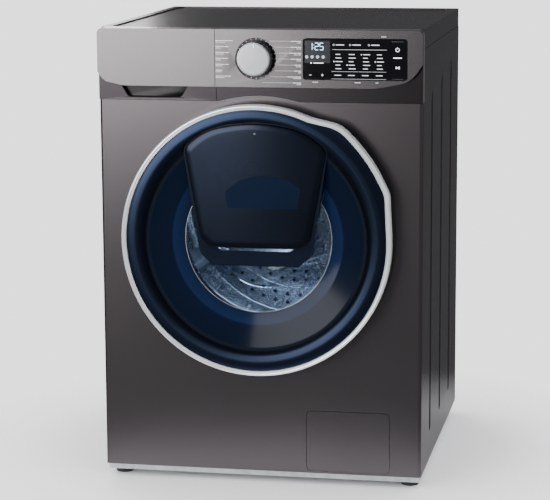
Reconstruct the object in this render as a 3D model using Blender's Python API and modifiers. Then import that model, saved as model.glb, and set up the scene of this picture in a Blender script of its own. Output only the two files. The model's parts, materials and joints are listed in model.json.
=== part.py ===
"""Front load washing machine with a small add-clothes hatch in its round door.

The front faces -Y, the floor is z = 0, and the origin is under the middle of the
overall box. Every separate piece is its own closed solid.
"""
import math

import bmesh
import bpy
from mathutils import Vector

# ---------------------------------------------------------------- driving sizes
WIDTH = 0.600
HEIGHT = 0.850
DEPTH = 0.600
DOOR_PROUD = 0.050
NIPPLE_PROUD = 0.015
FRONT = DOOR_PROUD - (DEPTH + DOOR_PROUD + NIPPLE_PROUD) / 2
BACK = FRONT + DEPTH
HALF = WIDTH / 2

SHEET = 0.0012
GAP = 0.0005
PANEL_RETURN = 0.010
PANEL_BOTTOM = 0.024
SEAM_Z = 0.718
TOP_PLATE_Z = 0.8145
SHIELD_PROUD = 0.012
FASCIA_BACK = FRONT + 0.020
DRAWER_SEAM_X = -0.079

DOOR_Z = 0.467
DOOR_R = 0.250
ARCH_R = 0.262
RING_WIDTH = 0.009
GLASS_EDGE_R = 0.1375
PANEL_HOLE_R = 0.160
HINGE_X = -0.236
HINGE_Y = FRONT - 0.0265

KNOB_X = -0.003
KNOB_Z = 0.797
KNOB_R = 0.032

TUB_Z = 0.467
TUB_R = 0.262
DRUM_R = 0.240
DRUM_MOUTH_R = 0.165
SHAFT_R = 0.0125
PULLEY_R = 0.140
PULLEY_Y = FRONT + 0.500
MOTOR_X = 0.060
MOTOR_Z = 0.112
MOTOR_R = 0.055
MOTOR_PULLEY_R = 0.0112

SPRING_X = 0.258
SPRING_Y = FRONT + 0.280
SPRING_TOP = 0.7825
SPRING_FOOT = 0.6405
DAMPER_X = 0.190

PUMP_X = 0.165
PUMP_Z = 0.082
FLAP_LOW = 0.028
FLAP_HIGH = 0.143
FLAP_LEFT = 0.086
FLAP_RIGHT = 0.242
FOOT_X = 0.275
FOOT_R = 0.0165

ROUND_LARGE = 38
ROUND_MEDIUM = 28
ROUND_SMALL = 16

for item in list(bpy.data.objects):
    bpy.data.objects.remove(item, do_unlink=True)

scene = bpy.context.scene
parts = bpy.data.collections.new("front_load_washing_machine")
cutters = bpy.data.collections.new("cutters")
scene.collection.children.link(parts)
scene.collection.children.link(cutters)


# ---------------------------------------------------------------- tools
def finish(name, colour, roughness, metallic):
    """A plain surface with one colour."""
    material = bpy.data.materials.new(name)
    material.use_nodes = True
    shader = material.node_tree.nodes["Principled BSDF"]
    shader.inputs["Base Color"].default_value = (*colour, 1.0)
    shader.inputs["Roughness"].default_value = roughness
    shader.inputs["Metallic"].default_value = metallic
    material.diffuse_color = (*colour, 1.0)
    return material


def from_bmesh(bm, name):
    """A new object in the cutters collection holding the mesh."""
    mesh = bpy.data.meshes.new(name)
    bm.normal_update()
    bm.to_mesh(mesh)
    bm.free()
    item = bpy.data.objects.new(name, mesh)
    cutters.objects.link(item)
    item.hide_render = True
    item.display_type = "WIRE"
    return item


def block(low, high, name="block"):
    """A box from its two corners."""
    bm = bmesh.new()
    bmesh.ops.create_cube(bm, size=1.0)
    low = Vector(low)
    high = Vector(high)
    for vert in bm.verts:
        vert.co = Vector((low[i] + (high[i] - low[i]) * (vert.co[i] + 0.5) for i in range(3)))
    return from_bmesh(bm, name)


AXES = {
    "x": lambda v: Vector((v.z, v.x, v.y)),
    "y": lambda v: Vector((v.x, v.z, -v.y)),
    "z": lambda v: Vector(v),
}


def rod(centre, radius, start, end, axis="y", sides=ROUND_SMALL, name="rod"):
    """A round bar along one axis; start and end are along that axis."""
    bm = bmesh.new()
    bmesh.ops.create_cone(
        bm, cap_ends=True, segments=sides, radius1=radius, radius2=radius, depth=end - start
    )
    index = "xyz".index(axis)
    offset = Vector(centre)
    offset[index] = (start + end) / 2
    for vert in bm.verts:
        vert.co = AXES[axis](vert.co) + offset
    bmesh.ops.recalc_face_normals(bm, faces=bm.faces)
    return from_bmesh(bm, name)


def evaluated(item, name):
    """The object's modifiers applied, as a new mesh object with doubles merged."""
    bpy.context.view_layer.update()
    graph = bpy.context.evaluated_depsgraph_get()
    mesh = bpy.data.meshes.new_from_object(item.evaluated_get(graph))
    mesh.transform(item.matrix_world)
    bm = bmesh.new()
    bm.from_mesh(mesh)
    bmesh.ops.remove_doubles(bm, verts=bm.verts, dist=1e-6)
    bmesh.ops.recalc_face_normals(bm, faces=bm.faces)
    bpy.data.meshes.remove(mesh)
    bpy.data.objects.remove(item, do_unlink=True)
    return from_bmesh(bm, name)


def turned(profile, centre_x, centre_z, steps=ROUND_LARGE, base_y=FRONT, name="turned", smooth=True):
    """A solid of revolution about a Y axis; the profile is (radius, depth behind base_y)."""
    area = sum(
        a[0] * b[1] - b[0] * a[1] for a, b in zip(profile, list(profile[1:]) + [profile[0]])
    )
    line = list(profile) if area < 0 else list(reversed(profile))
    on_axis = [i for i, point in enumerate(line) if point[0] == 0.0]
    closed = not on_axis
    if on_axis and not (line[0][0] == 0.0 and line[-1][0] == 0.0):
        first = max(on_axis)
        line = line[first:] + line[:first]
    bm = bmesh.new()
    verts = [bm.verts.new((radius, 0.0, depth)) for radius, depth in line]
    for a, b in zip(verts, verts[1:]):
        bm.edges.new((a, b))
    if closed:
        bm.edges.new((verts[-1], verts[0]))
    item = from_bmesh(bm, name)
    screw = item.modifiers.new("turn", "SCREW")
    screw.axis = "Z"
    screw.steps = steps
    screw.render_steps = steps
    screw.use_merge_vertices = True
    screw.merge_threshold = 1e-6
    screw.use_smooth_shade = smooth
    item.rotation_euler = (-math.pi / 2, 0.0, 0.0)
    item.location = (centre_x, base_y, centre_z)
    return evaluated(item, name)


def prism(outline, start, end, axis="y", name="prism"):
    """A flat outline pushed along one axis. For y the outline is (x, z), for z it is (x, y),
    for x it is (y, z)."""
    curve = bpy.data.curves.new(name, "CURVE")
    curve.dimensions = "2D"
    curve.fill_mode = "BOTH"
    curve.extrude = (end - start) / 2
    spline = curve.splines.new("POLY")
    spline.points.add(len(outline) - 1)
    for point, place in zip(spline.points, outline):
        point.co = (place[0], place[1], 0.0, 1.0)
    spline.use_cyclic_u = True
    item = bpy.data.objects.new(name, curve)
    cutters.objects.link(item)
    middle = (start + end) / 2
    if axis == "y":
        item.rotation_euler = (math.pi / 2, 0.0, 0.0)
        item.location = (0.0, middle, 0.0)
    elif axis == "x":
        item.rotation_euler = (math.pi / 2, 0.0, math.pi / 2)
        item.location = (middle, 0.0, 0.0)
    else:
        item.location = (0.0, 0.0, middle)
    return evaluated(item, name)


def wire(points, radius, sides=0, name="wire"):
    """A round wire through the points, with filled ends."""
    curve = bpy.data.curves.new(name, "CURVE")
    curve.dimensions = "3D"
    curve.bevel_depth = radius
    curve.bevel_resolution = sides
    curve.use_fill_caps = True
    spline = curve.splines.new("POLY")
    spline.points.add(len(points) - 1)
    for point, place in zip(spline.points, points):
        point.co = (*place, 1.0)
    item = bpy.data.objects.new(name, curve)
    cutters.objects.link(item)
    return evaluated(item, name)


def filleted(corners, radii, steps=3):
    """The outline with each corner rounded; one radius, or one for each corner."""
    count = len(corners)
    if not isinstance(radii, (list, tuple)):
        radii = [radii] * count
    result = []
    for i, corner in enumerate(corners):
        here = Vector(corner)
        back = Vector(corners[i - 1]) - here
        ahead = Vector(corners[(i + 1) % count]) - here
        if radii[i] == 0:
            result.append(tuple(here))
            continue
        half = back.angle(ahead) / 2
        reach = radii[i] / math.tan(half)
        middle = here + (back.normalized() + ahead.normalized()).normalized() * (
            radii[i] / math.sin(half)
        )
        first = here + back.normalized() * reach - middle
        last = here + ahead.normalized() * reach - middle
        sweep = first.angle_signed(last)
        for k in range(steps + 1):
            turn = -sweep * k / steps
            arm = Vector((
                first.x * math.cos(turn) - first.y * math.sin(turn),
                first.x * math.sin(turn) + first.y * math.cos(turn),
            ))
            result.append(tuple(middle + arm))
    return result


def rectangle(low_x, low_z, high_x, high_z, radius, steps=3):
    """A rounded rectangle as an outline."""
    corners = [(low_x, low_z), (high_x, low_z), (high_x, high_z), (low_x, high_z)]
    return filleted(corners, radius, steps)


def bevel(item, width, segments=2, angle=40):
    """Rounded edges."""
    step = item.modifiers.new("edge", "BEVEL")
    step.width = width
    step.segments = segments
    step.limit_method = "ANGLE"
    step.angle_limit = math.radians(angle)
    return item


def combine(item, tools, operation):
    """Booleans one after the other, then applied."""
    for tool in tools:
        step = item.modifiers.new(operation.lower(), "BOOLEAN")
        step.operation = operation
        step.solver = "EXACT"
        step.object = tool
    name = item.name
    result = evaluated(item, name)
    for tool in tools:
        bpy.data.objects.remove(tool, do_unlink=True)
    return result


def cut(item, *tools):
    return combine(item, tools, "DIFFERENCE")


def add(item, *tools):
    return combine(item, tools, "UNION")


def keep(item, tool):
    return combine(item, [tool], "INTERSECT")


def copy(item):
    """A second, independent object with the same mesh."""
    twin = bpy.data.objects.new(item.name, item.data.copy())
    cutters.objects.link(twin)
    return twin


def mirrored(item):
    """An independent object mirrored left to right."""
    bm = bmesh.new()
    bm.from_mesh(item.data)
    for vert in bm.verts:
        vert.co.x = -vert.co.x
    bmesh.ops.reverse_faces(bm, faces=bm.faces)
    return from_bmesh(bm, item.name)


def deliver(item, name, material, origin=(0.0, 0.0, 0.0), smooth_angle=35):
    """Moves a finished solid into the parts collection, with its own surface and origin."""
    if item.modifiers:
        item = evaluated(item, name)
    bm = bmesh.new()
    bm.from_mesh(item.data)
    bmesh.ops.translate(bm, verts=bm.verts, vec=-Vector(origin))
    for face in bm.faces:
        face.smooth = True
    for edge in bm.edges:
        sharp = len(edge.link_faces) != 2
        if not sharp:
            sharp = edge.calc_face_angle(0.0) > math.radians(smooth_angle)
        edge.smooth = not sharp
    bm.to_mesh(item.data)
    bm.free()
    item.location = origin
    item.name = name
    item.data.name = name
    cutters.objects.unlink(item)
    parts.objects.link(item)
    item.hide_render = False
    item.display_type = "TEXTURED"
    surface = material.copy()
    surface.name = name
    item.data.materials.clear()
    item.data.materials.append(surface)
    return item


STEEL_PAINT = finish("inox_paint", (0.300, 0.292, 0.292), 0.38, 0.75)
SIDE_PAINT = finish("graphite_paint", (0.060, 0.055, 0.056), 0.45, 0.6)
GALVANISED = finish("galvanised", (0.55, 0.56, 0.57), 0.45, 0.9)
CHROME = finish("chrome", (0.85, 0.86, 0.88), 0.08, 1.0)
BLACK_GLOSS = finish("black_gloss", (0.010, 0.014, 0.022), 0.06, 0.0)
GLASS = finish("smoked_glass", (0.045, 0.075, 0.130), 0.04, 0.0)
BLACK_PLASTIC = finish("black_plastic", (0.020, 0.021, 0.023), 0.42, 0.0)
GREY_RUBBER = finish("grey_rubber", (0.22, 0.23, 0.24), 0.7, 0.0)
BLACK_RUBBER = finish("black_rubber", (0.015, 0.015, 0.016), 0.75, 0.0)
STAINLESS = finish("stainless", (0.62, 0.62, 0.63), 0.22, 1.0)
ALUMINIUM = finish("aluminium", (0.72, 0.72, 0.73), 0.25, 1.0)
TUB_PLASTIC = finish("tub_plastic", (0.62, 0.63, 0.64), 0.55, 0.0)
CONCRETE = finish("concrete", (0.36, 0.35, 0.33), 0.9, 0.0)
WHITE_PLASTIC = finish("white_plastic", (0.78, 0.78, 0.77), 0.4, 0.0)
KEY_GREY = finish("key_grey", (0.045, 0.047, 0.052), 0.25, 0.0)
ZINC = finish("zinc", (0.60, 0.60, 0.58), 0.4, 0.9)


# ---------------------------------------------------------------- side panels
def side_panel():
    """Left side: a folded sheet with three pressed stiffening beads."""
    inner = -HALF + SHEET
    fold = 0.014
    front = FRONT + PANEL_RETURN + GAP
    rear = BACK - 0.0030
    outline = [
        (-HALF, front),
        (inner + fold, front),
        (inner + fold, front + SHEET),
        (inner, front + SHEET),
        (inner, rear),
        (inner + fold, rear),
        (inner + fold, rear + SHEET),
        (inner, rear + SHEET),
        (inner, BACK),
        (-HALF, BACK),
    ]
    panel = prism(outline, PANEL_BOTTOM, TOP_PLATE_Z, "z", "side")
    corner = block((inner, FRONT, 0.0), (inner + fold + 0.01, BACK, 0.053))
    for place, low, high in ((0.140, 0.075, 0.735), (0.300, 0.075, 0.750), (0.460, 0.075, 0.765)):
        centre = FRONT + place
        for depth, reach, action in ((0.0036, 0.0, add), (0.0024, -SHEET, cut)):
            half = 0.012 + reach
            face = -HALF - 0.002 if action is cut else -HALF + SHEET / 2
            ends = -reach
            shape = [
                (centre - half, low + ends + 0.010),
                (centre, low + ends),
                (centre + half, low + ends + 0.010),
                (centre + half, high - ends),
                (centre - half, high - ends - 0.022),
            ]
            ridge = prism(shape, face, -HALF + depth, "x", "bead")
            panel = action(panel, ridge)
    lug = block(
        (-HALF + SHEET / 2, SPRING_Y - 0.012, SPRING_TOP + GAP),
        (-SPRING_X + 0.016, SPRING_Y + 0.012, SPRING_TOP + 0.0045),
    )
    notch = block((-HALF - 0.01, FRONT, SEAM_Z), (inner + fold + 0.01, FASCIA_BACK + GAP, 0.9))
    panel = cut(panel, corner, notch)
    return add(panel, lug)


left = side_panel()
right = mirrored(left)
deliver(left, "left_side_panel", SIDE_PAINT, (-HALF, 0.0, 0.42))
deliver(right, "right_side_panel", SIDE_PAINT, (HALF, 0.0, 0.42))

# ---------------------------------------------------------------- back panel and its cover
VALVE_X = -0.205
VALVE_Z = 0.762
GLAND_X = 0.225
GLAND_Z = 0.105
DRAIN_X = -0.235
DRAIN_Z = 0.700

back = block((-HALF + SHEET + 0.0003, BACK - SHEET, PANEL_BOTTOM), (HALF - SHEET - 0.0003, BACK, TOP_PLATE_Z))
gland = rod((GLAND_X, 0, GLAND_Z), 0.010, BACK - SHEET / 2, BACK + 0.008)
back = add(back, gland)
back = cut(
    back,
    rod((0, 0, TUB_Z), 0.168, BACK - 0.01, BACK + 0.01, sides=ROUND_MEDIUM),
    rod((VALVE_X, 0, VALVE_Z), 0.0145, BACK - 0.01, BACK + 0.01),
    rod((DRAIN_X, 0, DRAIN_Z), 0.014, BACK - 0.01, BACK + 0.01),
    rod((GLAND_X, 0, GLAND_Z), 0.0048, BACK - 0.01, BACK + 0.02),
)
deliver(back, "back_panel", GALVANISED, (0.0, BACK, 0.42))

cover = turned(
    [
        (0.0, -0.0130),
        (0.130, -0.0130),
        (0.152, 0.0004),
        (0.186, 0.0004),
        (0.186, 0.0016),
        (0.1515, 0.0016),
        (0.1295, -0.0118),
        (0.0, -0.0118),
    ],
    0.0,
    TUB_Z,
    steps=ROUND_MEDIUM,
    base_y=BACK,
)
deliver(cover, "rear_service_cover", GALVANISED, (0.0, BACK, TUB_Z))

# ---------------------------------------------------------------- top plate
top = prism(
    rectangle(-HALF, FASCIA_BACK + GAP, HALF, BACK, 0.006), TOP_PLATE_Z + GAP, HEIGHT, "z", "top"
)
bevel(top, 0.0025, 2, 60)
recess = prism(
    rectangle(-HALF + 0.016, FASCIA_BACK + 0.014, HALF - 0.016, BACK - 0.016, 0.010),
    HEIGHT - 0.0025,
    HEIGHT + 0.01,
    "z",
)
hollow = block(
    (-HALF + 0.003, FASCIA_BACK + 0.004, TOP_PLATE_Z - 0.01), (HALF - 0.003, BACK - 0.003, HEIGHT - 0.008)
)
top = cut(evaluated(top, "top"), recess, hollow)
deliver(top, "top_plate", SIDE_PAINT, (0.0, 0.0, HEIGHT))

# ---------------------------------------------------------------- front panel
inner = HALF - SHEET
outline = filleted(
    [
        (-HALF, FRONT + PANEL_RETURN),
        (-HALF, FRONT),
        (HALF, FRONT),
        (HALF, FRONT + PANEL_RETURN),
        (inner, FRONT + PANEL_RETURN),
        (inner, FRONT + SHEET),
        (-inner, FRONT + SHEET),
        (-inner, FRONT + PANEL_RETURN),
    ],
    [0, 0.006, 0.006, 0, 0, 0.0048, 0.0048, 0],
)
panel = prism(outline, PANEL_BOTTOM, SEAM_Z + 0.03, "z", "front")
above = cut(
    block((-0.4, FRONT - 0.02, SEAM_Z), (0.4, FRONT + 0.05, SEAM_Z + 0.05)),
    rod((0, 0, DOOR_Z), ARCH_R, FRONT - 0.03, FRONT + 0.06, sides=64),
)
collar = turned(
    [
        (PANEL_HOLE_R, SHEET / 2),
        (PANEL_HOLE_R + 0.003, SHEET / 2),
        (PANEL_HOLE_R + 0.0018, 0.012),
        (PANEL_HOLE_R, 0.012),
    ],
    0.0,
    DOOR_Z,
)
opening = rod((0, 0, DOOR_Z), PANEL_HOLE_R + 0.0008, FRONT - 0.01, FRONT + 0.01, sides=ROUND_LARGE)
flap_hole = prism(
    rectangle(FLAP_LEFT - 0.0006, FLAP_LOW - 0.0006, FLAP_RIGHT + 0.0006, FLAP_HIGH + 0.0006, 0.0106),
    FRONT - 0.01,
    FRONT + 0.008,
)
lock_slot = block((0.176, FRONT - 0.01, DOOR_Z - 0.018), (0.200, FRONT + 0.008, DOOR_Z + 0.018))
panel = cut(panel, above, opening, flap_hole, lock_slot)
panel = add(panel, collar)
deliver(panel, "front_panel", STEEL_PAINT, (0.0, FRONT, 0.37))

# ---------------------------------------------------------------- base tray and feet
foot_spots = {
    "foot_front_left": (-FOOT_X, FRONT + 0.042),
    "foot_front_right": (FOOT_X, FRONT + 0.042),
    "foot_rear_left": (-FOOT_X, BACK - 0.042),
    "foot_rear_right": (FOOT_X, BACK - 0.042),
}
tray_floor = 0.0130
tray = block((-0.296, FRONT + 0.006, tray_floor), (0.296, BACK - 0.006, 0.050), "tray")
tray = cut(tray, block((-0.293, FRONT + 0.009, tray_floor + 0.004), (0.293, BACK - 0.009, 0.07)))
tray = add(tray, *[rod((x, y, 0), 0.012, tray_floor + 0.002, 0.040, "z") for x, y in foot_spots.values()])
tray = cut(tray, *[rod((x, y, 0), 0.0058, 0.0, 0.06, "z") for x, y in foot_spots.values()])
deliver(tray, "base_tray", GALVANISED, (0.0, 0.0, tray_floor))

for name, (x, y) in foot_spots.items():
    pad = rod((x, y, 0), FOOT_R, 0.0, 0.0125, "z")
    stem = rod((x, y, 0), 0.0050, 0.0100, 0.046, "z")
    foot = add(pad, stem)
    deliver(foot, name, BLACK_RUBBER, (x, y, 0.0))

# ---------------------------------------------------------------- fascia, drawer front
slab = prism(
    filleted(
        [(-HALF, SEAM_Z + 0.0006), (HALF, SEAM_Z + 0.0006), (HALF, HEIGHT), (-HALF, HEIGHT)],
        [0, 0, 0.009, 0.009],
    ),
    FRONT,
    FASCIA_BACK,
)
edge_x = HALF - 0.0004
shield = prism(
    filleted(
        [
            (-edge_x, 0.7700),
            (-0.2870, 0.7530),
            (-0.2500, 0.7452),
            (0.2150, 0.7452),
            (0.2780, 0.7570),
            (edge_x, 0.7880),
            (edge_x, HEIGHT - 0.0004),
            (-edge_x, HEIGHT - 0.0004),
        ],
        [0, 0.020, 0.060, 0.120, 0.045, 0, 0.009, 0.009],
    ),
    FRONT - SHIELD_PROUD,
    FRONT + 0.004,
)
bevel(shield, 0.0045, 2, 60)
whole = add(slab, evaluated(shield, "shield"))
arch = rod((0, 0, DOOR_Z), ARCH_R + 0.0006, FRONT - 0.03, FRONT + 0.06, sides=64)
whole = cut(whole, arch)
left_half = block((-0.4, FRONT - 0.05, 0.6), (DRAWER_SEAM_X - 0.0005, FRONT + 0.05, 0.9))
right_half = block((DRAWER_SEAM_X + 0.0005, FRONT - 0.05, 0.6), (0.4, FRONT + 0.05, 0.9))

drawer_front = keep(copy(whole), left_half)
drawer_pocket = block(
    (-HALF + 0.004, FRONT + 0.003, SEAM_Z + 0.004), (DRAWER_SEAM_X - 0.0035, FRONT + 0.05, 0.846)
)
upper_pocket = block(
    (-HALF + 0.014, FRONT - 0.0085, 0.764), (DRAWER_SEAM_X - 0.0035, FRONT + 0.01, 0.838)
)
grip = prism(
    filleted(
        [(-0.2450, 0.7240), (-0.1440, 0.7240), (-0.1280, 0.7520), (-0.2620, 0.7520)],
        [0.008, 0.008, 0, 0],
    ),
    FRONT - 0.0065,
    FRONT + 0.016,
)
grip_wall = block((-0.266, FRONT + 0.001, 0.7206), (-0.124, FRONT + 0.0185, 0.7560))
drawer_front = cut(drawer_front, drawer_pocket, upper_pocket)
drawer_front = cut(add(drawer_front, grip_wall), grip)
deliver(drawer_front, "drawer_front", STEEL_PAINT, (-0.19, FRONT, 0.784))

fascia = keep(whole, right_half)
fascia_pocket = block(
    (DRAWER_SEAM_X + 0.0035, FRONT + 0.003, 0.746), (HALF - 0.004, FRONT + 0.05, 0.846)
)
fascia_upper = block(
    (DRAWER_SEAM_X + 0.0035, FRONT - 0.0060, 0.764), (HALF - 0.014, FRONT + 0.01, 0.838)
)
window = (0.083, 0.760, 0.273, 0.835)
window_seat = prism(rectangle(*window, 0.006), FRONT - 0.02, FRONT - 0.0088)
knob_seat = rod((KNOB_X, 0, KNOB_Z), 0.0380, FRONT - 0.02, FRONT - 0.0090, sides=ROUND_MEDIUM)
knob_bore = rod((KNOB_X, 0, KNOB_Z), 0.0060, FRONT - 0.02, FRONT + 0.02)
fascia = cut(fascia, fascia_pocket, fascia_upper, window_seat, knob_seat, knob_bore)
deliver(fascia, "fascia", STEEL_PAINT, (0.11, FRONT, 0.784))

# ---------------------------------------------------------------- display window and keys
KEYS = {
    "minus_key": (0.0870, 0.7632, 0.1072, 0.7748),
    "plus_key": (0.1090, 0.7632, 0.1292, 0.7748),
    "temp_key": (0.1365, 0.7635, 0.1580, 0.7745),
    "rinse_key": (0.1600, 0.7635, 0.1835, 0.7745),
    "spin_key": (0.1855, 0.7635, 0.2085, 0.7745),
    "dry_key": (0.2105, 0.7635, 0.2340, 0.7745),
    "power_key": (0.2435, 0.8070, 0.2665, 0.8250),
    "start_key": (0.2435, 0.7730, 0.2665, 0.7940),
}
KEY_GAP = 0.0005
screen_front = FRONT - 0.0124
screen = prism(
    rectangle(window[0] + GAP, window[1] + GAP, window[2] - GAP, window[3] - GAP, 0.0055),
    screen_front,
    FRONT - 0.0094,
)
holes = [
    prism(
        [
            (x0 - KEY_GAP, z0 - KEY_GAP),
            (x1 + KEY_GAP, z0 - KEY_GAP),
            (x1 + KEY_GAP, z1 + KEY_GAP),
            (x0 - KEY_GAP, z1 + KEY_GAP),
        ],
        FRONT - 0.02,
        FRONT,
    )
    for x0, z0, x1, z1 in KEYS.values()
]
screen = cut(screen, *holes)
deliver(screen, "display_panel", BLACK_GLOSS, (0.178, screen_front, 0.7975))
for name, (x0, z0, x1, z1) in KEYS.items():
    key = prism(rectangle(x0, z0, x1, z1, 0.0014, 1), screen_front - 0.0003, FRONT - 0.0104)
    place = ((x0 + x1) / 2, screen_front, (z0 + z1) / 2)
    deliver(key, name, KEY_GREY, place)

# ---------------------------------------------------------------- programme knob
knob = turned(
    [
        (0.0, -0.0340),
        (KNOB_R - 0.0030, -0.0340),
        (KNOB_R - 0.0006, -0.0328),
        (KNOB_R, -0.0300),
        (KNOB_R + 0.0008, -0.0095),
        (KNOB_R - 0.0030, -0.0095),
        (0.0052, -0.0095),
        (0.0052, 0.0060),
        (0.0, 0.0060),
    ],
    KNOB_X,
    KNOB_Z,
    steps=ROUND_MEDIUM,
)
knob_face = cut(knob, rod((KNOB_X, 0, KNOB_Z + 0.0245), 0.0014, FRONT - 0.04, FRONT - 0.0335, sides=12))
deliver(knob_face, "program_knob", ALUMINIUM, (KNOB_X, FRONT - SHIELD_PROUD, KNOB_Z))

# ---------------------------------------------------------------- detergent drawer and housing
HOUSE = ((-0.2920, FASCIA_BACK + 0.001, 0.7450), (-0.0880, FRONT + 0.262, 0.8080))
house = block(*HOUSE, "house")
house = cut(
    house,
    block((HOUSE[0][0] + 0.002, FRONT, HOUSE[0][2] + 0.002), (HOUSE[1][0] - 0.002, HOUSE[1][1] - 0.002, HOUSE[1][2] - 0.002)),
)
outlet = rod((-0.150, FRONT + 0.225, 0), 0.016, 0.733, 0.746, "z")
house = add(house, outlet)
house = cut(house, rod((-0.150, FRONT + 0.225, 0), 0.013, 0.70, 0.760, "z"))
deliver(house, "dispenser_housing", WHITE_PLASTIC, (-0.19, FRONT + 0.14, 0.776))

TRAY = ((-0.2885, FASCIA_BACK + GAP, 0.7490), (-0.0915, FRONT + 0.252, 0.7990))
drawer = block(*TRAY, "drawer")
wells = [
    block((-0.2860, TRAY[0][1] + 0.0025, 0.7515), (-0.2200, TRAY[1][1] - 0.0025, 0.82)),
    block((-0.2175, TRAY[0][1] + 0.0025, 0.7515), (-0.1560, FRONT + 0.120, 0.82)),
    block((-0.2175, FRONT + 0.1225, 0.7515), (-0.1560, TRAY[1][1] - 0.0025, 0.82)),
    block((-0.1535, TRAY[0][1] + 0.0025, 0.7515), (-0.0940, TRAY[1][1] - 0.0025, 0.82)),
]
drawer = cut(drawer, *wells)
deliver(drawer, "drawer_tray", WHITE_PLASTIC, (-0.19, FRONT + 0.14, 0.774))


# ---------------------------------------------------------------- door outline with its handle
def door_outline(inset, steps=42):
    """The round door with the straightened handle corner at upper right."""
    radius = DOOR_R - inset
    start = math.radians(66)
    stop = math.radians(363)
    arc = [
        (
            radius * math.cos(start + (stop - start) * i / steps),
            DOOR_Z + radius * math.sin(start + (stop - start) * i / steps),
        )
        for i in range(steps + 1)
    ]
    scale = (0.266 - inset) / 0.266
    corners = [(0.2455 * scale, DOOR_Z + 0.0930 * scale), (0.1575 * scale, DOOR_Z + 0.2155 * scale)]
    middle = (0.2110 * scale, DOOR_Z + 0.1630 * scale)
    line = arc + [corners[0], middle, corners[1]]
    radii = [0] * len(arc) + [0.045, 0.300, 0.060]
    radii[0] = 0.0
    return filleted(line, radii, 3)


ring = prism(door_outline(0.0), FRONT - DOOR_PROUD, FRONT - 0.0300, name="ring")
bevel(ring, 0.0030, 1, 60)
ring = evaluated(ring, "ring")
handle_back = prism(
    [
        (0.300 * math.cos(math.radians(a)), DOOR_Z + 0.300 * math.sin(math.radians(a)))
        for a in (10, 22, 36, 50, 60)
    ]
    + [
        (0.2265 * math.cos(math.radians(a)), DOOR_Z + 0.2265 * math.sin(math.radians(a)))
        for a in (60, 50, 36, 22, 10)
    ],
    FRONT - 0.0412,
    FRONT - 0.0200,
)
ring_hole = cut(prism(door_outline(RING_WIDTH), FRONT - 0.06, FRONT), handle_back)
ring = cut(ring, ring_hole)
finger_angles = (13, 20, 28, 36, 44, 51, 57)
finger_gap = prism(
    [
        (0.300 * math.cos(math.radians(a)), DOOR_Z + 0.300 * math.sin(math.radians(a)))
        for a in finger_angles
    ]
    + [
        (0.2345 * math.cos(math.radians(a)), DOOR_Z + 0.2345 * math.sin(math.radians(a)))
        for a in reversed(finger_angles)
    ],
    FRONT - 0.0395,
    FRONT - 0.0330,
)
hinge_relief = ((-0.262, FRONT - 0.0345, DOOR_Z - 0.046), (-0.160, FRONT + 0.002, DOOR_Z + 0.046))
ring = cut(ring, finger_gap, block(*hinge_relief))
door_origin = (HINGE_X, HINGE_Y, DOOR_Z)
deliver(ring, "door_trim_ring", CHROME, door_origin)

# ---------------------------------------------------------------- add-clothes hatch outlines
HATCH = [
    (-0.0840, 0.4550),
    (0.0840, 0.4550),
    (0.1010, 0.4720),
    (0.1310, 0.6360),
    (0.0900, 0.6700),
    (0.0, 0.6870),
    (-0.0900, 0.6700),
    (-0.1310, 0.6360),
    (-0.1010, 0.4720),
]
HATCH_RADII = [0.010, 0.010, 0.015, 0.018, 0.120, 0.250, 0.120, 0.018, 0.015]
ISLAND = [
    (-0.0800, 0.4215),
    (0.0800, 0.4215),
    (0.1040, 0.4430),
    (0.1340, 0.6370),
    (0.0920, 0.6725),
    (0.0, 0.6900),
    (-0.0920, 0.6725),
    (-0.1340, 0.6370),
    (-0.1040, 0.4430),
]
TUBE = [
    (-0.0740, 0.4470),
    (0.0740, 0.4470),
    (0.0840, 0.5500),
    (0.0600, 0.5700),
    (-0.0600, 0.5700),
    (-0.0840, 0.5500),
]
TUBE_CENTRE = (0.0, 0.5090)


def scaled(points, factor, centre):
    return [(centre[0] + (x - centre[0]) * factor, centre[1] + (z - centre[1]) * factor) for x, z in points]


def hatch_outline(grow=0.0):
    return scaled(filleted(HATCH, HATCH_RADII, 2), 1.0 + grow, (0.0, 0.575))


def island_outline(grow=0.0):
    return scaled(filleted(ISLAND, HATCH_RADII, 2), 1.0 + grow, (0.0, 0.560))


def tube_outline(grow=0.0):
    return scaled(filleted(TUBE, [0.012, 0.012, 0.010, 0.010, 0.010, 0.010], 2), 1.0 + grow, TUBE_CENTRE)


# ---------------------------------------------------------------- door cover, glass, back frame
dish = turned(
    [
        (0.2700, -0.0463),
        (0.2320, -0.0463),
        (0.2150, -0.0435),
        (0.2000, -0.0375),
        (0.1590, -0.0235),
        (GLASS_EDGE_R, -0.0175),
        (GLASS_EDGE_R, -0.0150),
        (0.1590, -0.0210),
        (0.2000, -0.0350),
        (0.2150, -0.0408),
        (0.2330, -0.0438),
        (0.2700, -0.0438),
    ],
    0.0,
    DOOR_Z,
    steps=44,
)
dish = keep(dish, prism(door_outline(RING_WIDTH + 0.0005), FRONT - 0.06, FRONT - 0.0005))
dish = cut(dish, prism(island_outline(0.004), FRONT - 0.06, FRONT))
deliver(dish, "door_outer_cover", BLACK_GLOSS, door_origin)

bowl = turned(
    [
        (0.0, 0.1060),
        (0.0850, 0.0990),
        (0.1080, 0.0700),
        (0.1240, 0.0200),
        (0.1330, -0.0135),
        (0.1485, -0.0135),
        (0.1485, -0.0105),
        (0.1365, -0.0100),
        (0.1275, 0.0215),
        (0.1115, 0.0720),
        (0.0870, 0.1028),
        (0.0, 0.1100),
    ],
    0.0,
    DOOR_Z,
)
bowl = cut(bowl, prism(tube_outline(0.008), FRONT - 0.03, FRONT + 0.2))
deliver(bowl, "door_glass", GLASS, door_origin)

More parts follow.
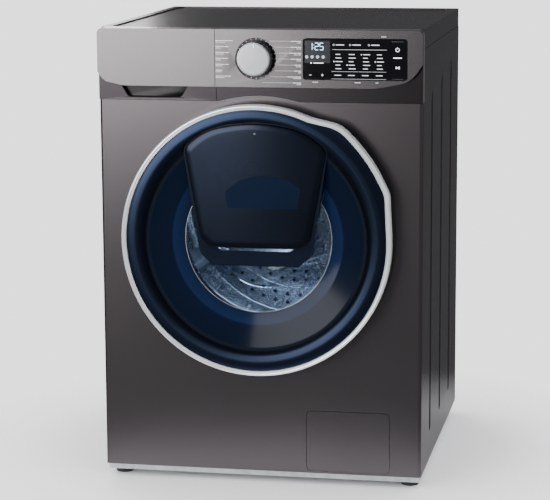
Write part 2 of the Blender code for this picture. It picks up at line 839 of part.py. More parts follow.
frame = turned(
    [
        (0.2475, -0.0296),
        (0.2475, -0.0040),
        (0.1495, -0.0040),
        (0.1495, -0.0176),
        (0.1520, -0.0176),
        (0.1520, -0.0065),
        (0.2445, -0.0065),
        (0.2445, -0.0296),
    ],
    0.0,
    DOOR_Z,
    steps=44,
)
HOOK_X = 0.187
hook_house = block(
    (HOOK_X - 0.013, FRONT - 0.0255, DOOR_Z - 0.014), (HOOK_X + 0.013, FRONT - 0.0050, DOOR_Z + 0.014)
)
hook_pocket = block(
    (HOOK_X - 0.0085, FRONT - 0.0235, DOOR_Z - 0.009), (HOOK_X + 0.0085, FRONT + 0.01, DOOR_Z + 0.009)
)
frame = cut(frame, block(*hinge_relief))
frame = add(
    frame,
    block((-0.2395, FRONT - 0.0294, DOOR_Z - 0.056), (-0.2280, FRONT - 0.0050, DOOR_Z - 0.0465)),
    block((-0.2395, FRONT - 0.0294, DOOR_Z + 0.0465), (-0.2280, FRONT - 0.0050, DOOR_Z + 0.056)),
    rod((HINGE_X, HINGE_Y, 0), 0.0022, DOOR_Z - 0.052, DOOR_Z + 0.052, "z"),
    hook_house,
)
frame = cut(frame, hook_pocket)
hook_pin = rod((HOOK_X, FRONT - 0.0150, 0), 0.0018, DOOR_Z - 0.012, DOOR_Z + 0.012, "z", 12)
frame = add(frame, hook_pin)
deliver(frame, "door_frame", BLACK_PLASTIC, door_origin)

hook = prism(
    filleted(
        [
            (HOOK_X - 0.0045, FRONT - 0.0195),
            (HOOK_X + 0.0045, FRONT - 0.0195),
            (HOOK_X + 0.0040, FRONT + 0.0060),
            (HOOK_X + 0.0090, FRONT + 0.0062),
            (HOOK_X + 0.0030, FRONT + 0.0160),
            (HOOK_X - 0.0040, FRONT + 0.0160),
        ],
        [0.003, 0.003, 0, 0.0006, 0.002, 0.002],
        2,
    ),
    DOOR_Z - 0.0070,
    DOOR_Z + 0.0070,
    "z",
)
hook = cut(hook, rod((HOOK_X, FRONT - 0.0150, 0), 0.0022, DOOR_Z - 0.02, DOOR_Z + 0.02, "z", 12))
deliver(hook, "door_hook", ZINC, (HOOK_X, FRONT - 0.0150, DOOR_Z))

# ---------------------------------------------------------------- hatch frame and hatch
plate = prism(island_outline(), FRONT - 0.0405, FRONT - 0.0380)
skirt = cut(
    prism(island_outline(), FRONT - 0.0400, FRONT - 0.0182),
    prism(island_outline(-0.022), FRONT - 0.05, FRONT - 0.010),
)
tube = prism(tube_outline(), FRONT - 0.0400, FRONT + 0.0750)
add_frame = add(plate, skirt, tube)
add_frame = cut(add_frame, prism(tube_outline(-0.030), FRONT - 0.06, FRONT + 0.1))
deliver(add_frame, "add_door_frame", BLACK_PLASTIC, door_origin)

ADD_HINGE = (-0.1315, FRONT - 0.0490, 0.600)
lid = prism(hatch_outline(), FRONT - 0.0490, FRONT - 0.0412)
bevel(lid, 0.0015, 1, 60)
plug = prism(tube_outline(-0.120), FRONT - 0.0420, FRONT - 0.0200)
lid = add(evaluated(lid, "lid"), plug)
lid = cut(lid, prism(tube_outline(-0.170), FRONT - 0.0445, FRONT))
deliver(lid, "add_door_cover", BLACK_GLOSS, ADD_HINGE)

# ---------------------------------------------------------------- door hinge and lock
base = block((-0.216, FRONT - 0.0034, DOOR_Z - 0.043), (-0.166, FRONT - 0.0004, DOOR_Z + 0.043))
arms = []
for low, high in ((-0.040, -0.022), (0.022, 0.040)):
    arms.append(block((-0.209, FRONT - 0.0295, DOOR_Z + low), (-0.203, FRONT - 0.0020, DOOR_Z + high)))
    arms.append(block((HINGE_X, HINGE_Y - 0.003, DOOR_Z + low), (-0.2035, HINGE_Y + 0.003, DOOR_Z + high)))
    arms.append(rod((HINGE_X, HINGE_Y, 0), 0.0055, DOOR_Z + low, DOOR_Z + high, "z"))
bracket = add(base, *arms)
bracket = cut(bracket, rod((HINGE_X, HINGE_Y, 0), 0.0027, DOOR_Z - 0.06, DOOR_Z + 0.06, "z"))
deliver(bracket, "hinge_bracket", ZINC, (-0.19, FRONT, DOOR_Z))

lock = block((0.1745, FRONT + 0.0016, DOOR_Z - 0.042), (0.2080, FRONT + 0.0320, DOOR_Z + 0.042))
lock = cut(lock, block((0.1780, FRONT - 0.01, DOOR_Z - 0.012), (0.2000, FRONT + 0.0260, DOOR_Z + 0.012)))
deliver(lock, "door_lock", BLACK_PLASTIC, (0.187, FRONT + 0.016, DOOR_Z))

# ---------------------------------------------------------------- door seal
seal = turned(
    [
        (0.1585, -0.0020),
        (0.1585, 0.0165),
        (0.1690, 0.0200),
        (0.1690, 0.0320),
        (0.1640, 0.0380),
        (0.1640, 0.0460),
        (0.1760, 0.0520),
        (0.1760, 0.0740),
        (0.1735, 0.0740),
        (0.1735, 0.0535),
        (0.1615, 0.0475),
        (0.1615, 0.0370),
        (0.1665, 0.0310),
        (0.1665, 0.0215),
        (0.1560, 0.0188),
        (0.1560, 0.0075),
        (0.1470, 0.0095),
        (0.1465, 0.0070),
        (0.1560, 0.0035),
        (0.1560, -0.0020),
    ],
    0.0,
    DOOR_Z,
    steps=26,
)
deliver(seal, "door_seal", GREY_RUBBER, (0.0, FRONT, DOOR_Z))

# ---------------------------------------------------------------- tub
tub_front = turned(
    [
        (TUB_R - 0.084, 0.0600),
        (TUB_R - 0.081, 0.0600),
        (TUB_R - 0.081, 0.0800),
        (TUB_R - 0.010, 0.0800),
        (TUB_R, 0.0900),
        (TUB_R, 0.2620),
        (TUB_R - 0.004, 0.2620),
        (TUB_R - 0.004, 0.0918),
        (TUB_R - 0.0118, 0.0840),
        (TUB_R - 0.084, 0.0840),
    ],
    0.0,
    TUB_Z,
)
deliver(tub_front, "tub_front", TUB_PLASTIC, (0.0, FRONT + 0.06, TUB_Z))

tub_rear = turned(
    [
        (TUB_R, 0.2625),
        (TUB_R, 0.4380),
        (TUB_R - 0.012, 0.4500),
        (0.0420, 0.4500),
        (0.0400, 0.4920),
        (0.0265, 0.4920),
        (0.0265, 0.4400),
        (0.0400, 0.4400),
        (0.0420, 0.4460),
        (TUB_R - 0.0138, 0.4460),
        (TUB_R - 0.004, 0.4362),
        (TUB_R - 0.004, 0.2625),
    ],
    0.0,
    TUB_Z,
)
lugs = [
    block(
        (MOTOR_X - 0.025, FRONT + 0.380, MOTOR_Z + MOTOR_R + GAP),
        (MOTOR_X + 0.025, FRONT + 0.420, 0.2150),
    )
]
for side in (-1, 1):
    lugs.append(
        block(
            (min(side * 0.186, side * 0.270), SPRING_Y - 0.015, SPRING_FOOT - 0.0085),
            (max(side * 0.186, side * 0.270), SPRING_Y + 0.015, SPRING_FOOT - GAP),
        )
    )
    lugs.append(
        block(
            (side * DAMPER_X - 0.012, SPRING_Y - 0.012, 0.2620),
            (side * DAMPER_X + 0.012, SPRING_Y + 0.012, 0.3000),
        )
    )
inside = rod((0, 0, TUB_Z), TUB_R - 0.0040, FRONT + 0.2, FRONT + 0.43, sides=ROUND_LARGE)
tub_rear = cut(add(tub_rear, *lugs), inside)
deliver(tub_rear, "tub_rear", TUB_PLASTIC, (0.0, FRONT + 0.45, TUB_Z))

upper_weight = prism(
    filleted(
        [(-0.070, 0.680), (0.180, 0.680), (0.180, 0.780), (0.160, 0.796), (-0.070, 0.796)],
        [0, 0, 0.004, 0.004, 0.010],
    ),
    FRONT + 0.105,
    FRONT + 0.355,
)
upper_weight = cut(upper_weight, rod((0, 0, TUB_Z), TUB_R + 0.0016, FRONT, FRONT + 0.5, sides=64))
deliver(upper_weight, "counterweight_top", CONCRETE, (0.05, FRONT + 0.23, 0.75))

lower_weight = turned(
    [(0.188, 0.0460), (0.252, 0.0460), (0.252, 0.0795), (0.188, 0.0795)], 0.0, TUB_Z
)
lower_weight = cut(lower_weight, block((-0.3, FRONT, TUB_Z - 0.045), (0.3, FRONT + 0.1, TUB_Z + 0.3)))
deliver(lower_weight, "counterweight_front", CONCRETE, (0.0, FRONT + 0.06, 0.30))

# ---------------------------------------------------------------- drum, spider, lifters, pulley
drum = turned(
    [
        (0.0, 0.4200),
        (DRUM_R - 0.012, 0.4200),
        (DRUM_R, 0.4080),
        (DRUM_R, 0.1120),
        (DRUM_R - 0.014, 0.0980),
        (DRUM_MOUTH_R, 0.0980),
        (DRUM_MOUTH_R, 0.1080),
        (DRUM_MOUTH_R + 0.0015, 0.1080),
        (DRUM_MOUTH_R + 0.0015, 0.0995),
        (DRUM_R - 0.0147, 0.0995),
        (DRUM_R - 0.0015, 0.1127),
        (DRUM_R - 0.0015, 0.4073),
        (DRUM_R - 0.0127, 0.4185),
        (0.0, 0.4185),
    ],
    0.0,
    TUB_Z,
)
deliver(drum, "drum", STAINLESS, (0.0, FRONT + 0.26, TUB_Z))


def polar(radius, degrees):
    return (radius * math.cos(math.radians(degrees)), TUB_Z + radius * math.sin(math.radians(degrees)))


spider_core = rod((0, 0, TUB_Z), 0.0300, FRONT + 0.4205, FRONT + 0.4340)
arms = []
for angle in (90, 210, 330):
    across = angle + 90
    root_a = polar(0.018, across)
    root_b = polar(0.018, across + 180)
    tip = polar(0.215, angle)
    side = (0.012 * math.cos(math.radians(across)), 0.012 * math.sin(math.radians(across)))
    arms.append(
        prism(
            [root_a, root_b, (tip[0] - side[0], tip[1] - side[1]), (tip[0] + side[0], tip[1] + side[1])],
            FRONT + 0.4210,
            FRONT + 0.4330,
        )
    )
shaft = rod((0, 0, TUB_Z), SHAFT_R, FRONT + 0.4300, FRONT + 0.5220)
spider = add(spider_core, *arms, shaft)
deliver(spider, "drum_spider", ALUMINIUM, (0.0, FRONT + 0.43, TUB_Z))

for index, angle in enumerate((90, 210, 330), 1):
    lifter = prism(
        filleted(
            [(-0.0240, -0.2350), (-0.0090, -0.1830), (0.0090, -0.1830), (0.0240, -0.2350)],
            [0, 0.008, 0.008, 0],
            3,
        ),
        FRONT + 0.122,
        FRONT + 0.400,
    )
    bm = bmesh.new()
    bm.from_mesh(lifter.data)
    turn = math.radians(angle + 90)
    for vert in bm.verts:
        x, z = vert.co.x, vert.co.z
        vert.co.x = x * math.cos(turn) - z * math.sin(turn)
        vert.co.z = TUB_Z + x * math.sin(turn) + z * math.cos(turn)
    bm.to_mesh(lifter.data)
    bm.free()
    place = polar(0.21, angle)
    deliver(lifter, f"drum_lifter_{index}", TUB_PLASTIC, (place[0], FRONT + 0.26, place[1]))

pulley = turned(
    [
        (0.0131, 0.0000),
        (0.0220, 0.0000),
        (0.0220, 0.0060),
        (0.1300, 0.0060),
        (0.1320, 0.0010),
        (PULLEY_R, 0.0010),
        (PULLEY_R, 0.0170),
        (0.1320, 0.0170),
        (0.1300, 0.0120),
        (0.0220, 0.0120),
        (0.0220, 0.0180),
        (0.0131, 0.0180),
    ],
    0.0,
    TUB_Z,
    steps=ROUND_MEDIUM,
    base_y=PULLEY_Y,
)
windows = []
for index in range(5):
    centre = polar(0.078, 90 + 72 * index)
    windows.append(rod((centre[0], 0, centre[1]), 0.036, PULLEY_Y - 0.01, PULLEY_Y + 0.03, sides=6))
pulley = cut(pulley, *windows)
deliver(pulley, "drum_pulley", ALUMINIUM, (0.0, PULLEY_Y, TUB_Z))

for name, start in (("bearing_front", 0.4410), ("bearing_rear", 0.4760)):
    bearing = turned(
        [(0.0131, start), (0.0260, start), (0.0260, start + 0.015), (0.0131, start + 0.015)],
        0.0,
        TUB_Z,
        steps=ROUND_SMALL,
    )
    deliver(bearing, name, STAINLESS, (0.0, FRONT + start, TUB_Z))

# ---------------------------------------------------------------- motor, its pulley, the belt
motor = rod((MOTOR_X, 0, MOTOR_Z), MOTOR_R, FRONT + 0.330, FRONT + 0.470)
bevel(motor, 0.006, 2)
motor = cut(
    evaluated(motor, "motor"),
    rod((MOTOR_X, 0, MOTOR_Z), 0.0066, FRONT + 0.440, FRONT + 0.50),
)
deliver(motor, "motor", BLACK_PLASTIC, (MOTOR_X, FRONT + 0.40, MOTOR_Z))

rotor = turned(
    [
        (0.0, 0.4450),
        (0.0060, 0.4450),
        (0.0060, 0.4980),
        (MOTOR_PULLEY_R, 0.4980),
        (MOTOR_PULLEY_R, 0.5200),
        (0.0, 0.5200),
    ],
    MOTOR_X,
    MOTOR_Z,
    steps=ROUND_SMALL,
)
deliver(rotor, "motor_pulley", STAINLESS, (MOTOR_X, PULLEY_Y, MOTOR_Z))


def belt_outline(grow):
    """The line a tight belt takes round both pulleys."""
    reach = Vector((MOTOR_X, MOTOR_Z - TUB_Z))
    heading = math.atan2(reach.y, reach.x)
    tangent = math.acos((PULLEY_R - MOTOR_PULLEY_R) / reach.length)
    line = []
    for i in range(41):
        angle = heading + tangent + (2 * math.pi - 2 * tangent) * i / 40
        radius = PULLEY_R + grow
        line.append((radius * math.cos(angle), TUB_Z + radius * math.sin(angle)))
    for i in range(7):
        angle = heading - tangent + 2 * tangent * i / 6
        radius = MOTOR_PULLEY_R + grow
        line.append((MOTOR_X + radius * math.cos(angle), MOTOR_Z + radius * math.sin(angle)))
    return line


belt = cut(
    prism(belt_outline(0.0034), PULLEY_Y + 0.003, PULLEY_Y + 0.015),
    prism(belt_outline(0.0010), PULLEY_Y - 0.01, PULLEY_Y + 0.03),
)
deliver(belt, "drive_belt", BLACK_RUBBER, (0.03, PULLEY_Y, 0.30))

# ---------------------------------------------------------------- suspension
COIL_TURNS = 6
for name, side in (("spring_left", -1), ("spring_right", 1)):
    low = SPRING_FOOT + 0.0016
    high = SPRING_TOP - 0.0016
    points = []
    for i in range(COIL_TURNS * 8 + 1):
        angle = 2 * math.pi * i / 8
        points.append(
            (
                side * SPRING_X + 0.0120 * math.cos(angle),
                SPRING_Y + 0.0120 * math.sin(angle),
                low + (high - low) * i / (COIL_TURNS * 8),
            )
        )
    coil = wire(points, 0.0014)
    deliver(coil, name, ZINC, (side * SPRING_X, SPRING_Y, SPRING_TOP))

for name, side in (("left", -1), ("right", 1)):
    x = side * DAMPER_X
    case = rod((x, SPRING_Y, 0), 0.0160, 0.0175, 0.1650, "z")
    case = cut(case, rod((x, SPRING_Y, 0), 0.0108, 0.0700, 0.20, "z"))
    deliver(case, f"damper_cylinder_{name}", BLACK_PLASTIC, (x, SPRING_Y, 0.0175))
    plunger = rod((x, SPRING_Y, 0), 0.0065, 0.0900, 0.2615, "z")
    plunger = add(plunger, rod((x, SPRING_Y, 0), 0.0100, 0.0880, 0.1080, "z"))
    deliver(plunger, f"damper_rod_{name}", WHITE_PLASTIC, (x, SPRING_Y, 0.2615))

# ---------------------------------------------------------------- pump, filter, service flap
pump = turned(
    [
        (0.0240, 0.0310),
        (0.0290, 0.0310),
        (0.0290, 0.1200),
        (0.0370, 0.1200),
        (0.0370, 0.1750),
        (0.0, 0.1750),
        (0.0, 0.1250),
        (0.0240, 0.1250),
    ],
    PUMP_X,
    PUMP_Z,
    steps=ROUND_MEDIUM,
)


def ring_points(radius, centre, sides):
    """A regular polygon as an outline."""
    return [
        (
            centre[0] + radius * math.cos(2 * math.pi * i / sides),
            centre[1] + radius * math.sin(2 * math.pi * i / sides),
        )
        for i in range(sides)
    ]


hose_axis = (FRONT + 0.1025, PUMP_Z + 0.0012)
stub = prism(ring_points(0.0130, hose_axis, 14), PUMP_X - 0.070, PUMP_X - 0.0255, "x")
bracket = block((PUMP_X - 0.020, FRONT + 0.128, 0.0175), (PUMP_X + 0.020, FRONT + 0.160, 0.0600))
pump = add(pump, stub, bracket)
pump = cut(pump, prism(ring_points(0.0100, hose_axis, 12), PUMP_X - 0.09, PUMP_X - 0.0112, "x"))
deliver(pump, "drain_pump", WHITE_PLASTIC, (PUMP_X, FRONT + 0.10, PUMP_Z))

cap = rod((PUMP_X, 0, PUMP_Z), 0.0290, FRONT + 0.0160, FRONT + 0.0300)
strainer = rod((PUMP_X, 0, PUMP_Z), 0.0225, FRONT + 0.0290, FRONT + 0.0950)
bar = block((PUMP_X - 0.020, FRONT + 0.0070, PUMP_Z - 0.003), (PUMP_X + 0.020, FRONT + 0.0170, PUMP_Z + 0.003))
pump_filter = add(cap, strainer, bar)
deliver(pump_filter, "pump_filter", BLACK_PLASTIC, (PUMP_X, FRONT + 0.016, PUMP_Z))

flap = prism(rectangle(FLAP_LEFT, FLAP_LOW, FLAP_RIGHT, FLAP_HIGH, 0.010), FRONT, FRONT + 0.0025)
flap_axis = ((FLAP_LEFT + FLAP_RIGHT) / 2, FRONT, FLAP_LOW)
deliver(flap, "service_flap", STEEL_PAINT, flap_axis)

# ---------------------------------------------------------------- water inlet valve
valve = block(
    (VALVE_X - 0.022, BACK - 0.062, VALVE_Z - 0.020), (VALVE_X + 0.022, BACK - 0.018, VALVE_Z + 0.020)
)
bevel(valve, 0.002, 1)
valve = add(
    evaluated(valve, "valve"),
    rod((VALVE_X, 0, VALVE_Z), 0.0200, BACK - 0.020, BACK - 0.0016),
    rod((VALVE_X, 0, VALVE_Z), 0.0131, BACK - 0.003, BACK + NIPPLE_PROUD),
    rod((VALVE_X, 0, VALVE_Z), 0.0070, BACK - 0.090, BACK - 0.060),
)
valve = cut(
    valve,
    rod((VALVE_X, 0, VALVE_Z), 0.0090, BACK - 0.040, BACK + 0.03),
)
deliver(valve, "inlet_valve", WHITE_PLASTIC, (VALVE_X, BACK, VALVE_Z))

for item in list(cutters.objects):
    bpy.data.objects.remove(item, do_unlink=True)
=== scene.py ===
"""Front load washing machine with an add-clothes hatch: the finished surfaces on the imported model."""
import json
import math

import bmesh
import bpy
from mathutils import Matrix, Vector

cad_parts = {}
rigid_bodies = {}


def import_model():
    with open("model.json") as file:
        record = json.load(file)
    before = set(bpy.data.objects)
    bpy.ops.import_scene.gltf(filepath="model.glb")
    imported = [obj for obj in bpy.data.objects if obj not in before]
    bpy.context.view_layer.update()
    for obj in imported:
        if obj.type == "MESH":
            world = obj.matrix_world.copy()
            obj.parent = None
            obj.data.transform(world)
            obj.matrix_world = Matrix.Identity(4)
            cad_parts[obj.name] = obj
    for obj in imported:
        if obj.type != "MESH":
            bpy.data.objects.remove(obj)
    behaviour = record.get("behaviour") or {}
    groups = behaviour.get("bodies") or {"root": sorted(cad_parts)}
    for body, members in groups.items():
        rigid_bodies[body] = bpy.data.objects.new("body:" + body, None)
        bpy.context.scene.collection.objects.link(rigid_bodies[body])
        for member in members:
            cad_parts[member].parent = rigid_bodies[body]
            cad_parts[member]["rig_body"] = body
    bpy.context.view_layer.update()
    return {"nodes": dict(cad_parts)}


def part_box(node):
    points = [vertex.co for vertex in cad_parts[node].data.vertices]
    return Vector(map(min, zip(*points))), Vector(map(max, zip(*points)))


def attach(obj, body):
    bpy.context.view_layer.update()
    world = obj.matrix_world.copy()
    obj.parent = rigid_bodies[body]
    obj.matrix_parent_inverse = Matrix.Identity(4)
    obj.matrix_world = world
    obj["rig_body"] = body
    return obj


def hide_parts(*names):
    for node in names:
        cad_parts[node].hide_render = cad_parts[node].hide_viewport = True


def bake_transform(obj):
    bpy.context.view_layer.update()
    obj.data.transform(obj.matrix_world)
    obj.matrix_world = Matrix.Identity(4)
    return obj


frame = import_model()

# ---------------- studio
# A pale floor that fades into a pale room, a broad soft light at front left that the paint and
# the glossy door pick up, a fainter one at right, one behind and a small one in the drum.
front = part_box("front_panel")[0].y

camera_data = bpy.data.cameras.new("camera")
camera_data.lens = 139.7
camera_data.sensor_width = 36.0
camera_data.clip_end = 60.0
camera = bpy.data.objects.new("camera", camera_data)
camera.location = (0.7565, front - 3.791, 1.140)
camera.rotation_euler = (math.radians(90 - 10.21), math.radians(0.3), math.radians(10.82))
bpy.context.scene.collection.objects.link(camera)
bpy.context.scene.camera = camera


def soft_light(name, place, aim, size, power, colour=(1.0, 1.0, 1.0)):
    """A rectangular softbox at a place, facing its aim."""
    lamp = bpy.data.lights.new(name, "AREA")
    lamp.shape = "RECTANGLE"
    lamp.size, lamp.size_y = size
    lamp.energy = power
    lamp.color = colour
    item = bpy.data.objects.new(name, lamp)
    item.location = place
    item.rotation_euler = (Vector(aim) - Vector(place)).to_track_quat("-Z", "Y").to_euler()
    item.visible_camera = False
    bpy.context.scene.collection.objects.link(item)
    return item


soft_light("left_box", (-1.92, -4.05, 1.30), (-1.1, 0.0, 0.95), (2.4, 2.1), 120)
soft_light("right_box", (3.4, -0.8, 1.4), (0.2, 0.0, 0.5), (0.9, 2.2), 10)
soft_light("rear_box", (-2.0, 3.0, 1.5), (-0.2, 0.0, 0.85), (2.0, 1.2), 40)
soft_light(
    "drum_light", (-0.02, front + 0.150, 0.560), (0.02, front + 0.33, 0.40), (0.10, 0.06), 1.5,
    colour=(0.50, 0.70, 1.0),
)

# Diffuse surfaces and the camera see a bright room, and gloss sees a dim one.
world = bpy.data.worlds.new("studio")
world.use_nodes = True
sky = world.node_tree
bright_room = sky.nodes["Background"]
bright_room.inputs["Color"].default_value = (0.97, 0.98, 1.0, 1.0)
bright_room.inputs["Strength"].default_value = 2.2
dim_room = sky.nodes.new("ShaderNodeBackground")
dim_room.inputs["Color"].default_value = (0.95, 0.97, 1.0, 1.0)
dim_room.inputs["Strength"].default_value = 0.20
split = sky.nodes.new("ShaderNodeMixShader")
path = sky.nodes.new("ShaderNodeLightPath")
sky.links.new(path.outputs["Is Glossy Ray"], split.inputs[0])
sky.links.new(bright_room.outputs[0], split.inputs[1])
sky.links.new(dim_room.outputs[0], split.inputs[2])
sky.links.new(split.outputs[0], sky.nodes["World Output"].inputs[0])
bpy.context.scene.world = world


class Wire:
    """A socket in a node tree. Sums and products of wires add their own Math nodes."""

    def __init__(self, tree, socket=None):
        self.tree = tree
        self.socket = socket

    def node(self, kind, settings=None, sockets=None, output=0):
        """Adds a node: its settings first, then the values or wires of its sockets."""
        made = self.tree.nodes.new("ShaderNode" + kind)
        for key, value in (settings or {}).items():
            if key == "stops":
                ramp = made.color_ramp
                ramp.elements[0].position, ramp.elements[0].color = value[0]
                ramp.elements[1].position, ramp.elements[1].color = value[-1]
                for position, colour in value[1:-1]:
                    ramp.elements.new(position).color = colour
            else:
                setattr(made, key, value)
        for key, value in (sockets or {}).items():
            if isinstance(value, Wire):
                self.tree.links.new(value.socket, made.inputs[key])
            else:
                made.inputs[key].default_value = value
        return Wire(self.tree, made.outputs[output])

    def maths(self, operation, first, second, clamp=False):
        return self.node("Math", {"operation": operation, "use_clamp": clamp}, {0: first, 1: second})

    def __add__(self, other):
        return self.maths("ADD", self, other)

    def __sub__(self, other):
        return self.maths("SUBTRACT", self, other)

    def __rsub__(self, other):
        return self.maths("SUBTRACT", other, self)

    def __mul__(self, other):
        return self.maths("MULTIPLY", self, other)

    __radd__ = __add__
    __rmul__ = __mul__

    def clamped(self, slope):
        """This value times the slope, held between 0 and 1."""
        return self.maths("MULTIPLY", self, slope, clamp=True)

    def length(self):
        return self.node("VectorMath", {"operation": "LENGTH"}, {0: self}, "Value")

    def radius_about(self, centre):
        """How far these coordinates are from a Y axis through the centre."""
        away = self.node("VectorMath", {"operation": "SUBTRACT"}, {0: self, 1: centre})
        flat = away.node("VectorMath", {"operation": "MULTIPLY"}, {0: away, 1: (1.0, 0.0, 1.0)})
        return flat.length()

    def noise(self, scale, detail=2.0, stretch=(1.0, 1.0, 1.0)):
        """Noise from 0 to 1 on these coordinates, drawn out where stretch is small."""
        place = self.node("Mapping", None, {"Vector": self, "Scale": stretch})
        return place.node("TexNoise", None, {"Vector": place, "Scale": scale, "Detail": detail})

    def between(self, first, second):
        """A colour from first to second as this value goes from 0 to 1."""
        factor, colour_a, colour_b, result = 0, 6, 7, 2
        sockets = {factor: self, colour_a: first, colour_b: second}
        return self.node("Mix", {"data_type": "RGBA"}, sockets, result)

    def bump(self, depth, strength=1.0):
        """A surface normal from this height, which is depth metres from 0 to 1."""
        return self.node("Bump", None, {"Height": self, "Distance": depth, "Strength": strength})


def tone(red, green, blue):
    """A colour as seen, from 0 to 255, as the linear one that shaders take."""
    def linear(value):
        value /= 255
        return value / 12.92 if value <= 0.04045 else ((value + 0.055) / 1.055) ** 2.4

    return (linear(red), linear(green), linear(blue), 1.0)


def surface(name, fixed, varied):
    """A material. Fixed values go on the shader; varied takes coordinates and gives the rest."""
    made = bpy.data.materials.new(name)
    made.use_nodes = True
    tree = made.node_tree
    shader = tree.nodes["Principled BSDF"]
    for socket, value in fixed.items():
        shader.inputs[socket].default_value = value
    place = Wire(tree).node("TexCoord", output="Object")
    for socket, wire in varied(place).items():
        tree.links.new(wire.socket, shader.inputs[socket])
    return made


def mottled(scale, detail, dark, light, rough, spread):
    """A plain finish whose colour and roughness drift together on one noise."""
    def varied(place):
        cloud = place.noise(scale, detail)
        return {"Base Color": cloud.between(dark, light), "Roughness": rough + spread * cloud}

    return varied


def paper(place):
    """White paper that fades out into the backdrop round the machine."""
    cloud = place.noise(1.5, 3.0)
    return {
        "Base Color": cloud.between(tone(244, 244, 245), tone(250, 250, 250)),
        "Roughness": 0.55 + 0.15 * cloud,
        "Alpha": (0.76 - place.length()).clamped(3.0),
    }


bm = bmesh.new()
bmesh.ops.create_circle(bm, cap_ends=True, segments=128, radius=1.0)
floor_mesh = bpy.data.meshes.new("floor")
bm.to_mesh(floor_mesh)
bm.free()
floor = bpy.data.objects.new("floor", floor_mesh)
floor_mesh.materials.append(surface("floor_paper", {}, paper))
bpy.context.scene.collection.objects.link(floor)


# ---------------- cabinet
# The cabinet is pressed sheet: a metallic inox front, darker graphite sides and lid, all
# sprayed with a fine flake, and bare galvanised sheet for the back and the base.
def flake_paint(dark, light):
    """Metallic paint: a fine flake, a slow cloud and a faint orange peel."""
    def varied(place):
        flake = place.noise(2600, 1.0)
        cloud = place.noise(5, 3.0)
        peel = place.noise(420, 2.0)
        return {
            "Base Color": (0.55 * flake + 0.45 * cloud).between(dark, light),
            "Roughness": 0.21 + 0.06 * flake + 0.03 * cloud,
            "Normal": (peel * 0.8 + flake * 0.2).bump(0.00003, 0.3),
        }

    return varied


def zinc_sheet(place):
    """Galvanised sheet: broad crystals and a dull bloom."""
    crystal = place.node("TexVoronoi", {"feature": "F1"}, {"Vector": place, "Scale": 70.0}, "Distance")
    bloom = place.noise(18, 4.0)
    return {
        "Base Color": (crystal * 0.6 + bloom * 0.5).between(tone(148, 151, 154), tone(196, 199, 201)),
        "Roughness": 0.34 + 0.22 * bloom,
        "Normal": crystal.bump(0.00005, 0.4),
    }


inox = surface(
    "inox_paint",
    {"Metallic": 0.94, "Specular Tint": (0.4, 0.4, 0.4, 1.0)},
    flake_paint(tone(82, 78, 80), tone(95, 90, 92)),
)
graphite = surface(
    "graphite_paint",
    {"Metallic": 0.78, "Specular Tint": (0.26, 0.25, 0.25, 1.0)},
    flake_paint(tone(72, 68, 70), tone(86, 81, 83)),
)
galvanised = surface("galvanised_sheet", {"Metallic": 0.9}, zinc_sheet)


def as_object(bm, name, material, angle=35):
    """A finished object at the origin, round where its faces meet at less than the angle."""
    mesh = bpy.data.meshes.new(name)
    bm.to_mesh(mesh)
    bm.free()
    mesh.shade_smooth()
    mesh.set_sharp_from_angle(angle=math.radians(angle))
    mesh.materials.append(material)
    item = bpy.data.objects.new(name, mesh)
    bpy.context.scene.collection.objects.link(item)
    return item


def stands_for(item, node):
    """The piece rides as the CAD node does and is shown in its place."""
    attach(item, frame["nodes"][node]["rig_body"])
    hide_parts(node)


def belongs(item, body):
    """An extra piece that rides with a body."""
    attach(item, body)


def skinned(node, material, edge=0.0):
    """A merged, smooth copy of a CAD node, in its place, with its edges eased if wanted."""
    bm = bmesh.new()
    bm.from_mesh(frame["nodes"][node].data)
    bmesh.ops.remove_doubles(bm, verts=bm.verts, dist=1e-6)
    bmesh.ops.dissolve_limit(bm, angle_limit=math.radians(0.6), verts=bm.verts, edges=bm.edges)
    item = as_object(bm, node + "_shell", material)
    if edge:
        ease = item.modifiers.new("eased_edge", "BEVEL")
        ease.width = edge
        ease.segments = 2
        ease.limit_method = "ANGLE"
        ease.angle_limit = math.radians(50)
        ease.use_clamp_overlap = True
    level = item.modifiers.new("flat_faces", "WEIGHTED_NORMAL")
    level.keep_sharp = True
    stands_for(item, node)
    return item


skinned("front_panel", inox)
skinned("service_flap", inox, 0.0006)
skinned("left_side_panel", graphite)
skinned("right_side_panel", graphite)
skinned("top_plate", graphite)
for node in ("back_panel", "rear_service_cover", "base_tray"):
    skinned(node, galvanised)


# ---------------- sheet screws
# Zinc hex-washer screws hold the back panel and its round service cover.
plated = surface(
    "zinc_plate", {"Metallic": 0.95}, mottled(300, 3.0, tone(150, 150, 148), tone(190, 189, 184), 0.25, 0.2)
)
SCREW_R = 0.0042
WASHER = 0.0008
HEX_HEAD = 0.0028


def add_screw(bm, place):
    """One screw head on the back, standing out along +Y."""
    turn = Matrix.Translation(place) @ Matrix.Rotation(-math.pi / 2, 4, "X")
    bmesh.ops.create_cone(
        bm, cap_ends=True, segments=24, radius1=SCREW_R * 1.35, radius2=SCREW_R * 1.25, depth=WASHER,
        matrix=turn,
    )
    bmesh.ops.create_cone(
        bm, cap_ends=True, segments=6, radius1=SCREW_R, radius2=SCREW_R * 0.92, depth=HEX_HEAD,
        matrix=Matrix.Translation((0, HEX_HEAD / 2, 0)) @ turn,
    )


